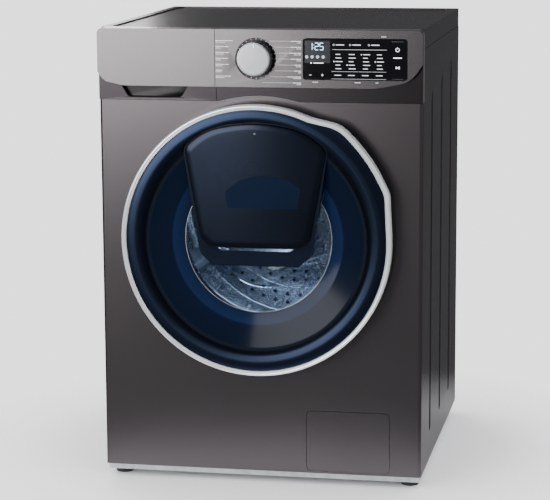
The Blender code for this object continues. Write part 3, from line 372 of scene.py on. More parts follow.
bm = bmesh.new()
sheet_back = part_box("left_side_panel")[1].y + 0.0006
SIDE_SCREWS = 5
TOP_SCREWS = 3
COVER_SCREWS = 8
for side in (-1, 1):
    for step in range(SIDE_SCREWS):
        add_screw(bm, (side * 0.286, sheet_back, 0.070 + step * 0.176))
for step in range(TOP_SCREWS):
    add_screw(bm, ((step - 1) * 0.16, sheet_back, 0.798))
cover_low, cover_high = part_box("rear_service_cover")
cover_mid = (cover_low + cover_high) / 2
cover_r = (cover_high.x - cover_low.x) / 2 - 0.009
for step in range(COVER_SCREWS):
    angle = math.pi * (2 * step + 1) / COVER_SCREWS
    place = (cover_r * math.cos(angle), cover_high.y - 0.0002, cover_mid.z + cover_r * math.sin(angle))
    add_screw(bm, place)
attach(as_object(bm, "back_screws", plated), "cabinet")

# ---------------- fascia and drawer front
# Both come out of one moulding. Its paint is a little lighter than the front's: a painted highlight for the
# light its tilted face catches. It stands proud in a shield over a strip painted darker as painted shade, and
# the drawer front, the left third, has a finger pocket below, painted near black as painted shade.
# The lighter tone of this paint is a painted highlight: the fascia catches more of the light than the front.
shell_paint_with_highlight = surface(
    "fascia_paint_with_highlight",
    {"Metallic": 1.0, "Coat Weight": 0.25, "Coat Roughness": 0.12},
    flake_paint(tone(92, 88, 90), tone(110, 105, 107)),
)
# The strip's darker copy of the paint is painted shade, where the strip turns away from the light.
strip_shade_flake = flake_paint(tone(52, 49, 51), tone(62, 58, 60))
strip_painted_shade = surface("fascia_strip_painted_shade", {"Metallic": 1.0}, strip_shade_flake)
# The pocket's near-black copy of the paint is painted shade in the recess.
pocket_painted_shade = surface("pocket_painted_shade", {"Metallic": 0.6}, flake_paint(tone(20, 19, 20), tone(28, 26, 27)))
SHIELD_BACK = -0.0105
POCKET_FRONT = 0.0015
POCKET_TOP = 0.745
for node in ("fascia", "drawer_front"):
    shell = skinned(node, shell_paint_with_highlight)
    shell.data.materials.append(strip_painted_shade)
    shell.data.materials.append(pocket_painted_shade)
    # Pocket faces take the painted shade of the recess; the strip's forward faces take the painted shade of
    # its tilt.
    for polygon in shell.data.polygons:
        depth = polygon.center.y - front
        if node == "drawer_front" and depth > POCKET_FRONT and polygon.center.z < POCKET_TOP:
            polygon.material_index = 2
        elif depth > SHIELD_BACK and polygon.normal.y < -0.9:
            polygon.material_index = 1

# ---------------- small print
# The legends are printed bars and dots: a generic stand-in for the programme names and
# key names, at their real places and sizes.
def glow(colour, strength):
    """A lit mark: the light's own colour with a faint unevenness."""
    def varied(place):
        speck = place.noise(700, 2.0)
        dim = tuple(0.8 * value for value in colour[:3]) + (1.0,)
        return {"Emission Color": speck.between(dim, colour), "Roughness": 0.3 + 0.1 * speck}

    return surface("lit_mark", {"Emission Strength": strength, "Base Color": colour}, varied)


white_ink = surface("white_ink", {}, mottled(900, 2.0, tone(196, 198, 200), tone(232, 233, 234), 0.4, 0.1))
blue_glow = glow(tone(170, 214, 246), 1.6)
white_glow = glow(tone(240, 244, 248), 1.1)
PRINT = 0.00012


def add_bar(bm, x, z, width, height, face, tilt=0.0):
    """A flat printed bar centred at x, z on a face that looks forward."""
    place = Matrix.Translation((x, face - PRINT / 2, z)) @ Matrix.Rotation(tilt, 4, "Y")
    bmesh.ops.create_cube(bm, size=1.0, matrix=place @ Matrix.Diagonal((width, PRINT, height, 1.0)))


def add_round(bm, x, z, radius, face, sides=14, spin=0.0):
    """A flat printed dot, or a regular shape with so many sides."""
    flat = Matrix.Translation((x, face - PRINT / 2, z)) @ Matrix.Rotation(math.pi / 2, 4, "X")
    bmesh.ops.create_cone(
        bm, cap_ends=True, segments=sides, radius1=radius, radius2=radius, depth=PRINT,
        matrix=flat @ Matrix.Rotation(spin, 4, "Z"),
    )


def add_arc(bm, x, z, radius, width, face, start=0, stop=360, steps=24):
    """A printed arc of short bars."""
    for step in range(steps):
        angle = math.radians(start + (stop - start) * (step + 0.5) / steps)
        length = radius * math.radians(abs(stop - start)) / steps * 1.15
        place = (x + radius * math.cos(angle), z + radius * math.sin(angle))
        add_bar(bm, *place, width, length, face, -angle)


def printed(bm, name, body, material):
    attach(as_object(bm, name, material), body)


knob_low, knob_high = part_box("program_knob")
knob_x = (knob_low.x + knob_high.x) / 2
knob_z = (knob_low.z + knob_high.z) / 2
knob_r = (knob_high.x - knob_low.x) / 2
fascia_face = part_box("fascia")[0].y
LEGEND_TOP = 0.8290
LEGEND_STEP = 0.0107
LEGEND_EDGES = {-1: -0.0770, 1: 0.0800}
CLEAR_OF_KNOB = 0.0415
LEGEND_GAP = 0.0015
LINE_HEIGHTS = (0.0011, 0.0008)
SECOND_LINE = 0.0029
SMALL_WORD = 8
LEADER = 0.0003


def add_words(bm, x, z, width, height, words):
    """A line of print on the fascia as so many bars with small gaps, starting at x."""
    gap = 0.0007
    length = (width - gap * (words - 1)) / words
    for word in range(words):
        add_bar(bm, x + length * (word + 0.5) + gap * word, z, length, height, fascia_face)


def add_legend(bm, side, row, width, small, words):
    """A programme's two lines, their widths in mm. One on the right has a leader to the knob."""
    z = LEGEND_TOP - row * LEGEND_STEP
    reach = math.sqrt(max(0.0, CLEAR_OF_KNOB ** 2 - (z - knob_z) ** 2))
    edge = LEGEND_EDGES[side]
    room = min(width / 1000, abs(edge - knob_x) - reach - LEGEND_GAP)
    short = min(small / 1000, room)
    start, small_start = (edge, edge) if side < 0 else (edge - room, edge - short)
    add_words(bm, start, z, room, LINE_HEIGHTS[0], words)
    add_words(bm, small_start, z - SECOND_LINE, short, LINE_HEIGHTS[1], 1 + small // SMALL_WORD)
    leader = knob_x + max(reach, 0.012)
    end = start - 0.001
    if side > 0 and end - leader > 0.003:
        add_bar(bm, (leader + end) / 2, z, end - leader, LEADER, fascia_face)


LEFT_LEGENDS = ((31, 17, 4), (24, 9, 3), (25, 15, 3), (22, 9, 2), (24, 12, 3), (12, 10, 1), (28, 16, 4))
RIGHT_LEGENDS = (
    (18, 7, 3), (19, 8, 3), (22, 13, 3), (19, 8, 2), (12, 9, 2), (13, 5, 2), (25, 14, 4), (15, 8, 2),
)
SMALL_MARKS = (
    (0.1060, 0.7560, 0.0090), (0.1830, 0.7560, 0.0100), (0.2180, 0.7560, 0.0045), (0.2300, 0.8385, 0.0085),
)
bm = bmesh.new()
for side, legends in ((-1, LEFT_LEGENDS), (1, RIGHT_LEGENDS)):
    for row, legend in enumerate(legends):
        add_legend(bm, side, row, *legend)
for x, z, width in SMALL_MARKS:
    add_words(bm, x - width / 2, z, width, LINE_HEIGHTS[0], 3)
printed(bm, "programme_legends", "cabinet", white_ink)

# ---------------- programme knob
# A turned aluminium knob with a finely knurled side, a spun face and a lit index line,
# in a round recess whose rim carries a tick for each programme.
def spun_metal(centre, dark, light):
    """Bright metal with the rings that a lathe leaves about a Y axis."""
    def varied(place):
        radius = place.radius_about(centre)
        rings = radius.node("TexNoise", {"noise_dimensions": "1D"}, {"W": radius, "Scale": 2400.0})
        return {
            "Base Color": rings.between(dark, light),
            "Roughness": 0.11 + 0.10 * rings,
            "Normal": rings.bump(0.00003, 0.5),
        }

    return varied


def rounded(corners, radii, steps=4, closed=True):
    """A line with its corners rounded, each by its own radius."""
    result = []
    count = len(corners)
    for i, corner in enumerate(corners):
        here = Vector(corner)
        end = not closed and i in (0, count - 1)
        if end or not radii[i]:
            result.append(here)
            continue
        back_way = (Vector(corners[i - 1]) - here).normalized()
        on_way = (Vector(corners[(i + 1) % count]) - here).normalized()
        half = back_way.angle(on_way) / 2
        middle = here + (back_way + on_way).normalized() * (radii[i] / math.sin(half))
        arm = here + back_way * (radii[i] / math.tan(half)) - middle
        sweep = arm.angle_signed(here + on_way * (radii[i] / math.tan(half)) - middle)
        for step in range(steps + 1):
            result.append(middle + Matrix.Rotation(-sweep * step / steps, 2) @ arm)
    return result


def turned(profile, centre, steps=128, closed=True):
    """A profile of (radius, depth) points spun about the Y axis through the centre."""
    bm = bmesh.new()
    verts = [bm.verts.new((centre[0] + radius, centre[1] + depth, centre[2])) for radius, depth in profile]
    pairs = list(zip(verts, verts[1:]))
    if closed:
        pairs.append((verts[-1], verts[0]))
    edges = [bm.edges.new(pair) for pair in pairs]
    bmesh.ops.spin(
        bm, geom=verts + edges, cent=centre, axis=(0, 1, 0), angle=2 * math.pi, steps=steps, use_merge=True
    )
    bmesh.ops.remove_doubles(bm, verts=bm.verts, dist=1e-6)
    bmesh.ops.recalc_face_normals(bm, faces=bm.faces)
    return bm


knob_centre = (knob_x, front, knob_z)
knob_face = knob_low.y - front
lathe_rings = spun_metal(knob_centre, tone(112, 113, 116), tone(156, 157, 160))
bright = surface("knob_metal", {"Metallic": 1.0}, lathe_rings)
STEM_R = 0.0052
SKIRT_BACK = -0.0098
GROOVE = 0.0004
GROOVE_DEPTH = 0.00004
GROOVES = int((knob_r - STEM_R) / GROOVE)
KNURLS = 240
KNURL_DEPTH = 0.00035
spun_face = [(0.0, knob_face)]
for step in range(1, 2 * GROOVES):
    spun_face.append((step * GROOVE / 2, knob_face + GROOVE_DEPTH * (step % 2)))
profile = spun_face + rounded(
    [(knob_r - 0.0046, knob_face), (knob_r - 0.0042, knob_face), (knob_r - 0.0036, knob_face + 0.0006),
     (knob_r - 0.0012, knob_face + 0.0006), (knob_r, SKIRT_BACK), (STEM_R, SKIRT_BACK), (STEM_R, 0.006),
     (0.0, 0.006)],
    [0, 0.0003, 0, 0.0016, 0.0006, 0, 0, 0],
    closed=False,
)
bm = turned(profile, knob_centre, KNURLS, closed=False)
for vert in bm.verts:
    away = Vector((vert.co.x - knob_x, vert.co.z - knob_z))
    if away.length > knob_r - 0.0022 and knob_face + 0.003 < vert.co.y - front < SKIRT_BACK - 0.0007:
        step = round(math.atan2(away.y, away.x) / (2 * math.pi) * KNURLS)
        if step % 2:
            vert.co.x = knob_x + away.x * (1 - KNURL_DEPTH / knob_r)
            vert.co.z = knob_z + away.y * (1 - KNURL_DEPTH / knob_r)
stands_for(as_object(bm, "knob_body", bright, 25), "program_knob")
bm = bmesh.new()
add_bar(bm, knob_x, knob_z + knob_r * 0.76, 0.0013, 0.0075, knob_low.y + 0.00004)
printed(bm, "knob_index", "knob", blue_glow)

bm = bmesh.new()
TICKS = 24
TICK_R = 0.0358
seat_face = front - 0.0090
for step in range(TICKS):
    angle = math.radians(90 - step * 360 / TICKS)
    place = (knob_x + TICK_R * math.cos(angle), knob_z + TICK_R * math.sin(angle))
    add_bar(bm, *place, 0.0020, 0.0006, seat_face, -angle)
add_arc(bm, knob_x, knob_z, 0.0371, 0.0004, seat_face, -80, 60, 48)
printed(bm, "knob_ticks", "cabinet", white_ink)

# ---------------- display and keys
# A smoked acrylic window over the display. The readout and lamps shine through it, and
# eight touch keys of the same acrylic sit flush in it.
def gloss_black(place):
    smear = place.noise(14, 3.0)
    dust = place.noise(1500, 1.0)
    return {
        "Base Color": smear.between(tone(4, 4, 6), tone(8, 8, 11)),
        "Roughness": 0.05 + 0.05 * smear + 0.02 * dust,
    }


acrylic = surface("smoked_acrylic", {"Specular IOR Level": 0.3}, gloss_black)
skinned("display_panel", acrylic)
KEYS = ("minus", "plus", "temp", "rinse", "spin", "dry", "power", "start")
for key in KEYS:
    skinned(key + "_key", acrylic, 0.0002)
screen_low, screen_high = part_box("display_panel")
screen = screen_low.y

cell_grey = mottled(1200, 1.0, tone(16, 18, 24), tone(24, 27, 34), 0.14, 0.05)
bm = bmesh.new()
add_bar(bm, screen_low.x + 0.0265, screen_high.z - 0.0240, 0.0460, 0.0400, screen)
printed(bm, "readout_field", "cabinet", surface("readout_field", {"Coat Weight": 0.5}, cell_grey))

SEGMENTS = {
    "top": (0, 1, 0), "middle": (0, 0, 0), "bottom": (0, -1, 0),
    "high_left": (-1, 0.5, 1), "high_right": (1, 0.5, 1),
    "low_left": (-1, -0.5, 1), "low_right": (1, -0.5, 1),
}
DIGITS = {
    "1": ("high_right", "low_right"),
    "2": ("top", "high_right", "middle", "low_left", "bottom"),
    "5": ("top", "high_left", "middle", "low_right", "bottom"),
}
DIGIT_W, DIGIT_H, STROKE = 0.0062, 0.0122, 0.0011
readout_face = screen - PRINT
readout_z = screen_high.z - 0.0142
bm = bmesh.new()
for place, digit in zip((0.0975, 0.1087, 0.1175), "125"):
    for segment in DIGITS[digit]:
        across, up, upright = SEGMENTS[segment]
        size = (STROKE, DIGIT_H / 2 - STROKE * 0.6) if upright else (DIGIT_W - STROKE * 0.4, STROKE)
        x = place + across * DIGIT_W / 2
        z = readout_z + up * DIGIT_H / 2
        add_bar(bm, x, z, *size, readout_face)
for up in (-1, 1):
    add_round(bm, 0.1036, readout_z + up * 0.0026, 0.0006, readout_face)
printed(bm, "readout_digits", "cabinet", blue_glow)

bm = bmesh.new()
for step in range(4):
    x = 0.0905 + step * 0.0100
    add_arc(bm, x, 0.8015, 0.0021, 0.0005, readout_face, 0, 360, 16)
    add_bar(bm, x, 0.8015, 0.0016 + 0.0005 * (step % 2), 0.0005, readout_face)
add_bar(bm, 0.1120, 0.7905, 0.0180, 0.0011, readout_face)
add_round(bm, 0.0985, 0.7905, 0.0013, readout_face)
printed(bm, "readout_icons", "cabinet", white_glow)

OPTION_X = (0.1400, 0.1640, 0.1900, 0.2150)
bm = bmesh.new()
for x in (0.1480, 0.1780, 0.2120):
    add_bar(bm, x + 0.0030, 0.8235, 0.0150, 0.0014, screen)
    add_arc(bm, x - 0.0085, 0.8235, 0.0014, 0.0005, screen, 0, 360, 12)
add_bar(bm, 0.1865, 0.8150, 0.0980, 0.0004, screen)
for column, x in enumerate(OPTION_X):
    for row in range(5):
        width = 0.0085 + 0.0020 * ((column + row) % 3)
        add_bar(bm, x + 0.0030 + width / 2, 0.8065 - row * 0.0064, width, 0.0012, screen)
for key in ("temp", "rinse", "spin", "dry"):
    low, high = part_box(key + "_key")
    add_bar(bm, (low.x + high.x) / 2, (low.z + high.z) / 2, 0.0120, 0.0012, low.y)
    for z in (low.z - 0.0011, high.z + 0.0011):
        add_bar(bm, (low.x + high.x) / 2, z, high.x - low.x + 0.0014, 0.0003, screen)
printed(bm, "option_legends", "cabinet", white_ink)

bm = bmesh.new()
for x, z in ((0.1400, 0.7937), (0.1640, 0.7873), (0.1900, 0.8065), (0.2150, 0.7937)):
    add_round(bm, x, z, 0.0009, screen - 0.00002)
add_bar(bm, 0.2550, 0.8010, 0.0150, 0.0016, screen)
printed(bm, "option_lamps", "cabinet", white_glow)

bm = bmesh.new()
for z in (0.8300, 0.7630):
    add_bar(bm, 0.2550, z, 0.0200, 0.0012, screen)
printed(bm, "silver_lines", "cabinet", bright)

low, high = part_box("power_key")
middle = (low + high) / 2
bm = bmesh.new()
add_arc(bm, middle.x, middle.z - 0.0004, 0.0032, 0.0007, low.y, 125, 415, 28)
add_bar(bm, middle.x, middle.z + 0.0024, 0.0007, 0.0036, low.y)
printed(bm, "power_icon", "power_key", white_glow)

low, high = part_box("start_key")
middle = (low + high) / 2
bm = bmesh.new()
add_round(bm, middle.x - 0.0016, middle.z, 0.0026, low.y, 3, -math.pi / 2)
for step in (0, 1):
    add_bar(bm, middle.x + 0.0018 + step * 0.0018, middle.z, 0.0008, 0.0046, low.y)
printed(bm, "start_icon", "start_key", white_glow)

for key in ("minus", "plus"):
    low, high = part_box(key + "_key")
    middle = (low + high) / 2
    bm = bmesh.new()
    add_bar(bm, middle.x, middle.z, 0.0046, 0.0008, low.y)
    if key == "plus":
        add_bar(bm, middle.x, middle.z, 0.0008, 0.0046, low.y - PRINT)
    printed(bm, key + "_icon", key + "_key", white_ink)

# ---------------- door trim ring
# A chrome-plated ring that frames the door. It has a round outer lip and a fine inner one,
# and at upper right it swells into a handle with a groove for the fingers.
seal_low, seal_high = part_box("door_seal")
door_z = (seal_low.z + seal_high.z) / 2
door_r = -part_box("door_trim_ring")[0].x
ring_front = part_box("door_trim_ring")[0].y - front
RIM = 0.009
ARC_START, ARC_END = 66, 363
GRIP_CORNERS = ((0.2455, 0.0930), (0.2110, 0.1630), (0.1575, 0.2155))
GRIP_ROUNDS = [0.045, 0.300, 0.060]
GRIP_START, GRIP_END, GRIP_FADE = 11, 59, 3
GRIP_OUT = 0.016
GRIP_FLOOR_R = 0.2345
GRIP_BACK_R = 0.2265
HINGE_HALF = 0.046
HINGE_DEPTH = -0.0345


chrome_plate = mottled(60, 3.0, tone(226, 229, 233), tone(248, 249, 251), 0.16, 0.07)
chrome = surface("chrome_plate", {"Metallic": 0.72}, chrome_plate)


def door_line(inset, turns=150):
    """The door's outline about its centre, as (x, z): an arc and the handle's corner."""
    radius = door_r - inset
    line = []
    for step in range(turns + 1):
        angle = math.radians(ARC_START + (ARC_END - ARC_START) * step / turns)
        line.append((radius * math.cos(angle), radius * math.sin(angle)))
    shrink = 1 - inset / (door_r + GRIP_OUT)
    line += [(x * shrink, z * shrink) for x, z in GRIP_CORNERS]
    return rounded(line, [0] * (turns + 1) + GRIP_ROUNDS, 12)


def looped(lines, closed=True):
    """A skin through loops of points. An open one has its first and last loop filled."""
    bm = bmesh.new()
    loops = []
    for line in lines:
        verts = [bm.verts.new(point) for point in line]
        loops.append([bm.edges.new(pair) for pair in zip(verts, verts[1:] + verts[:1])])
    for first, second in zip(loops, loops[1:] + (loops[:1] if closed else [])):
        bmesh.ops.bridge_loops(bm, edges=first + second)
    if not closed:
        for loop in (loops[0], loops[-1]):
            bmesh.ops.contextual_create(bm, geom=loop)
    bmesh.ops.remove_doubles(bm, verts=bm.verts, dist=1e-6)
    bmesh.ops.recalc_face_normals(bm, faces=bm.faces)
    return bm


def ring_loop(inset, depth, grip_r=None):
    """One loop of the ring's section, drawn in to grip_r behind the handle."""
    loop = []
    for x, z in door_line(inset):
        angle = math.degrees(math.atan2(z, x))
        share = max(0.0, min(1.0, (angle - GRIP_START) / GRIP_FADE, (GRIP_END - angle) / GRIP_FADE))
        scale = 1 + share * (grip_r / math.hypot(x, z) - 1) if grip_r else 1.0
        at_hinge = x < -0.2 and abs(z) < HINGE_HALF
        deep = min(depth, HINGE_DEPTH) if at_hinge else depth
        loop.append((x * scale, front + deep, door_z + z * scale))
    return loop


ring_section = [
    (0.0, -0.0303, None), (0.0, -0.0328, None), (0.0, -0.0330, GRIP_FLOOR_R), (0.0, -0.0393, GRIP_FLOOR_R),
    (0.0, -0.0395, None), (0.0, -0.0468, None), (0.0005, -0.0484, None), (0.0014, -0.0495, None),
    (0.0028, ring_front, None), (0.0042, ring_front, None), (0.0056, -0.0493, None), (0.0063, -0.0484, None),
    (0.0070, -0.0488, None), (0.0078, -0.0492, None), (0.0086, -0.0488, None), (RIM, -0.0480, None),
    (RIM, -0.0412, None), (RIM, -0.0409, GRIP_BACK_R), (RIM, -0.0303, GRIP_BACK_R),
]
ring = as_object(looped([ring_loop(*step) for step in ring_section]), "door_chrome_ring", chrome, 50)
stands_for(ring, "door_trim_ring")

# ---------------- door cover
# One glossy dish of smoked navy plastic, bluest towards the glass. Its raised outer rim has a
# paler metallic tint behind it. The hatch's island is set in its middle.
def dish_tint(place):
    across = (place.radius_about((0.0, 0.0, door_z)) - 0.130).clamped(10.0)
    smear = place.noise(9, 3.0)
    stops = [
        (0.0, tone(9, 19, 38)), (0.27, tone(11, 23, 47)), (0.31, tone(6, 13, 28)),
        (0.68, tone(5, 11, 24)), (0.74, tone(26, 30, 40)), (1.0, tone(38, 46, 64)),
    ]
    band = across.node("ValToRGB", {"stops": stops}, {"Fac": across})
    rim = (across - 0.68).clamped(12.0)
    return {"Base Color": band, "Roughness": 0.10 + 0.05 * smear + 0.16 * rim, "Metallic": 0.97 * rim}


dish_plastic = surface("smoked_navy", {"Specular IOR Level": 0.12}, dish_tint)


def cut(item, tool, operation="DIFFERENCE"):
    """Cuts the tool out of a piece, or keeps what the two share, and removes the tool."""
    step = item.modifiers.new("cut", "BOOLEAN")
    step.operation = operation
    step.solver = "EXACT"
    step.object = tool
    bpy.context.view_layer.update()
    graph = bpy.context.evaluated_depsgraph_get()
    made = bpy.data.meshes.new_from_object(item.evaluated_get(graph))
    item.modifiers.clear()
    item.data = made
    bpy.data.objects.remove(tool)


def slab(line, start, end):
    """A flat outline of (x, z) made a solid between two depths behind the front."""
    lines = [[(x, front + depth, z) for x, z in line] for depth in (start, end)]
    return as_object(looped(lines, closed=False), "tool", chrome)


def outline(shape, grow=0.0):
    """A shape's corners rounded, and grown about a point on the door's centre line."""
    corners, radii, steps, middle = shape
    line = rounded(corners, radii, steps)
    return [(x * (1 + grow), middle + (z - middle) * (1 + grow)) for x, z in line]


LID_RADII = [0.010, 0.010, 0.015, 0.018, 0.120, 0.250, 0.120, 0.018, 0.015]
HATCH = (
    [(-0.0840, 0.4550), (0.0840, 0.4550), (0.1010, 0.4720), (0.1310, 0.6360), (0.0900, 0.6700),
     (0.0, 0.6870), (-0.0900, 0.6700), (-0.1310, 0.6360), (-0.1010, 0.4720)],
    LID_RADII, 8, 0.575,
)
ISLAND = (
    [(-0.0800, 0.4215), (0.0800, 0.4215), (0.1040, 0.4430), (0.1340, 0.6370), (0.0920, 0.6725),
     (0.0, 0.6900), (-0.0920, 0.6725), (-0.1340, 0.6370), (-0.1040, 0.4430)],
    LID_RADII, 8, 0.560,
)
TUNNEL = (
    [(-0.0740, 0.4470), (0.0740, 0.4470), (0.0840, 0.5500), (0.0600, 0.5700), (-0.0600, 0.5700),
     (-0.0840, 0.5500)],
    [0.012, 0.012, 0.010, 0.010, 0.010, 0.010], 8, 0.5090,
)
door_axis = (0.0, front, door_z)
GLASS_R = 0.1375
DISH_R = 0.2700
dish_profile = rounded(
    [(GLASS_R, -0.0172), (0.1590, -0.0235), (0.2010, -0.0385), (0.2130, -0.0458), (0.2250, -0.0480),
     (0.2350, -0.0472), (0.2460, -0.0444), (DISH_R, -0.0400), (DISH_R, -0.0375), (0.2460, -0.0420),
     (0.2330, -0.0450), (0.2150, -0.0430), (0.2010, -0.0360), (0.1590, -0.0210), (GLASS_R, -0.0150)],
    [0.0006, 0.020, 0.030, 0.025, 0.030, 0.030, 0.020, 0, 0, 0.020, 0.030, 0.030, 0.030, 0.020, 0],
    6,
)
dish = as_object(turned(dish_profile, door_axis, 180), "door_dish", dish_plastic, 40)
dish_outline = [(x, door_z + z) for x, z in door_line(RIM + 0.0005)]
cut(dish, slab(dish_outline, -0.080, 0.020), "INTERSECT")
cut(dish, slab(outline(ISLAND, 0.004), -0.060, 0.0))
dish.data.set_sharp_from_angle(angle=math.radians(40))
stands_for(dish, "door_outer_cover")

# ---------------- door glass
# A deep bowl of pressed glass, tinted smoke blue, with a polished rim where it meets the
# dish. The hatch's tunnel passes through its face.
def smoke_glass(place):
    ripple = place.noise(26, 2.0)
    return {
        "Base Color": ripple.between(tone(5, 13, 34), tone(9, 20, 48)),
        "Roughness": 0.02 + 0.03 * ripple,
        "Normal": ripple.bump(0.0006, 0.35),
    }


smoke = surface("smoke_glass", {"Alpha": 0.56, "Specular IOR Level": 0.3}, smoke_glass)
bowl_profile = rounded(
    [(0.0, 0.1060), (0.0850, 0.0990), (0.1080, 0.0700), (0.1240, 0.0200), (0.1330, -0.0135),
     (0.1485, -0.0135), (0.1485, -0.0105), (0.1365, -0.0100), (0.1275, 0.0215), (0.1115, 0.0720),
     (0.0870, 0.1028), (0.0, 0.1100)],
    [0, 0.020, 0.040, 0.060, 0.001, 0.0008, 0.0008, 0.001, 0.060, 0.040, 0.022, 0],
)
bowl = as_object(turned(bowl_profile, door_axis, closed=False), "glass_bowl", smoke, 50)
cut(bowl, slab(outline(TUNNEL, 0.008), -0.030, 0.200))
stands_for(bowl, "door_glass")

polished = surface("polished_edge", {"Metallic": 0.9}, chrome_plate)
EDGE_R = GLASS_R - 0.0006
edge_profile = [
    (GLASS_R - 0.0016, -0.0140), (GLASS_R - 0.0014, -0.0148), (EDGE_R, -0.0148), (EDGE_R, -0.0138),
]
glass_edge = as_object(turned(edge_profile, door_axis, 160), "glass_bright_edge", polished)
cut(glass_edge, slab(outline(ISLAND, 0.004), -0.060, 0.0))
belongs(glass_edge, "door")

# ---------------- door back frame and hinge
# A black moulding closes the back of the door round the bowl, and holds the hinge pin and
# the sprung hook. Its screws go in from behind.
def grained(dark, light):
    """Moulded plastic with a fine spark-eroded grain."""
    def varied(place):
        grain = place.noise(900, 2.0)
        flow = place.noise(12, 2.0)
        return {
            "Base Color": (0.4 * grain + 0.6 * flow).between(dark, light),
            "Roughness": 0.38 + 0.18 * grain,
            "Normal": grain.bump(0.00008, 0.5),
        }

    return varied


black_plastic = surface("black_moulding", {}, grained(tone(26, 27, 29), tone(38, 39, 42)))
white_plastic = surface("white_moulding", {}, grained(tone(214, 215, 214), tone(232, 232, 230)))
tub_plastic = surface("glass_filled_tub", {}, grained(tone(186, 189, 191), tone(206, 208, 209)))
skinned("door_frame", black_plastic)
skinned("door_hook", plated, 0.0003)
skinned("hinge_bracket", plated)
skinned("door_lock", black_plastic, 0.0005)

bm = bmesh.new()
DOOR_SCREWS = 12
SCREW_CIRCLE_R = 0.2300
for step in range(DOOR_SCREWS):
    angle = math.pi * (2 * step + 1) / DOOR_SCREWS
    clear_of_hinge = abs(math.sin(angle)) > 0.3 or math.cos(angle) > 0
    if clear_of_hinge:
        x, z = SCREW_CIRCLE_R * math.cos(angle), SCREW_CIRCLE_R * math.sin(angle)
        add_screw(bm, (x, front - 0.0036, door_z + z))
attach(as_object(bm, "door_frame_screws", plated), "door")

# ---------------- add-clothes hatch
# A black tunnel runs through the glass, and its mouth is a glossy island. The lid on it is
# a crowned smoked cover with a raised field and a darker window. A small arc marks where to push.
lid_plastic = surface(
    "smoked_lid",
    {"Metallic": 0.92, "Coat Weight": 0.15, "Coat Roughness": 0.15},
    mottled(7, 3.0, tone(20, 25, 36), tone(27, 34, 49), 0.24, 0.05),
)
island_gloss = mottled(12, 3.0, tone(6, 11, 21), tone(9, 16, 30), 0.16, 0.06)
skinned("add_door_frame", surface("island_gloss", {"Specular IOR Level": 0.15}, island_gloss))

LID_BACK = -0.0412
LID_FACE = -0.0490
CROWN = 0.30


def crowned(shape, grow, depth):
    """A loop on the lid's face, which falls back to both sides of the middle."""
    loop = []
    line = outline(shape, grow)
    for start, end in zip(line, line[1:] + line[:1]):
        pieces = 1 + int(math.dist(start, end) / 0.006)
        for step in range(pieces):
            x = start[0] + (end[0] - start[0]) * step / pieces
            z = start[1] + (end[1] - start[1]) * step / pieces
            loop.append((x, front + depth + CROWN * x * x, z))
    return loop


lines = [[(x, front + LID_BACK, z) for x, y, z in crowned(HATCH, 0.0, LID_FACE)]]
for grow, drop in ((0.0, 0.0016), (-0.0040, 0.0006), (-0.0110, 0.0001)):
    lines.append(crowned(HATCH, grow, LID_FACE + drop))
lines += [crowned(HATCH, -0.1 * step, LID_FACE) for step in range(1, 10)]
lines.append(crowned(HATCH, -0.97, LID_FACE))
stands_for(as_object(looped(lines, closed=False), "hatch_lid", lid_plastic, 50), "add_door_cover")

PLUG_FRONT = LID_BACK + 0.0001
PLUG_BACK = -0.0200
plug_lines = []
for grow, depth in ((-0.120, PLUG_FRONT), (-0.120, PLUG_BACK), (-0.170, PLUG_BACK), (-0.170, PLUG_FRONT)):
    plug_lines.append([(x, front + depth, z) for x, z in outline(TUNNEL, grow)])
belongs(as_object(looped(plug_lines), "hatch_plug", black_plastic, 40), "add_door")

window_gloss = mottled(11, 3.0, tone(8, 15, 28), tone(12, 21, 38), 0.10, 0.04)
window_plastic = surface("lid_clear_field", {"Specular IOR Level": 0.1}, window_gloss)
FIELD = (
    [(-0.0800, 0.4720), (0.0900, 0.4720), (0.1090, 0.6080), (0.0600, 0.6320), (0.0, 0.6400),
     (-0.0600, 0.6320), (-0.1000, 0.6080)],
    [0.010, 0.010, 0.020, 0.090, 0.200, 0.090, 0.020], 5, 0.5600,
)
WINDOW = (
    [(-0.0500, 0.5290), (0.0780, 0.5290), (0.0850, 0.5650), (0.0580, 0.5830), (0.0070, 0.5900),
     (-0.0300, 0.5790), (-0.0540, 0.5590)],
    [0.003, 0.003, 0.006, 0.040, 0.080, 0.040, 0.008], 5, 0.5560,
)
for name, shape, stand, material in (
    ("hatch_zone", FIELD, 0.00012, lid_plastic),
    ("hatch_window", WINDOW, 0.00030, window_plastic),
):
    lines = [crowned(shape, 0.0, LID_FACE + 0.0002), crowned(shape, 0.0, LID_FACE - stand + 0.0001)]
    lines += [crowned(shape, -0.1 * step - 0.002, LID_FACE - stand) for step in range(10)]
    belongs(as_object(looped(lines, closed=False), name, material, 12), "add_door")
bm = bmesh.new()
add_arc(bm, 0.0010, 0.6620, 0.0030, 0.0006, front + LID_FACE + 0.0001, 60, 120, 6)
printed(bm, "hatch_push_mark", "add_door", white_ink)

# ---------------- door seal
# A grey rubber bellows from the cabinet's hole to the tub's mouth. Its front lip wipes the
# glass, and its folds take up the tub's movement.
def rubber(dark, light):
    """Moulded rubber with a soft bloom."""
    def varied(place):
        bloom = place.noise(40, 4.0)
        skin = place.noise(1500, 1.0)
        return {
            "Base Color": bloom.between(dark, light),
            "Roughness": 0.55 + 0.25 * bloom,
            "Normal": skin.bump(0.00006, 0.5),
        }

    return varied


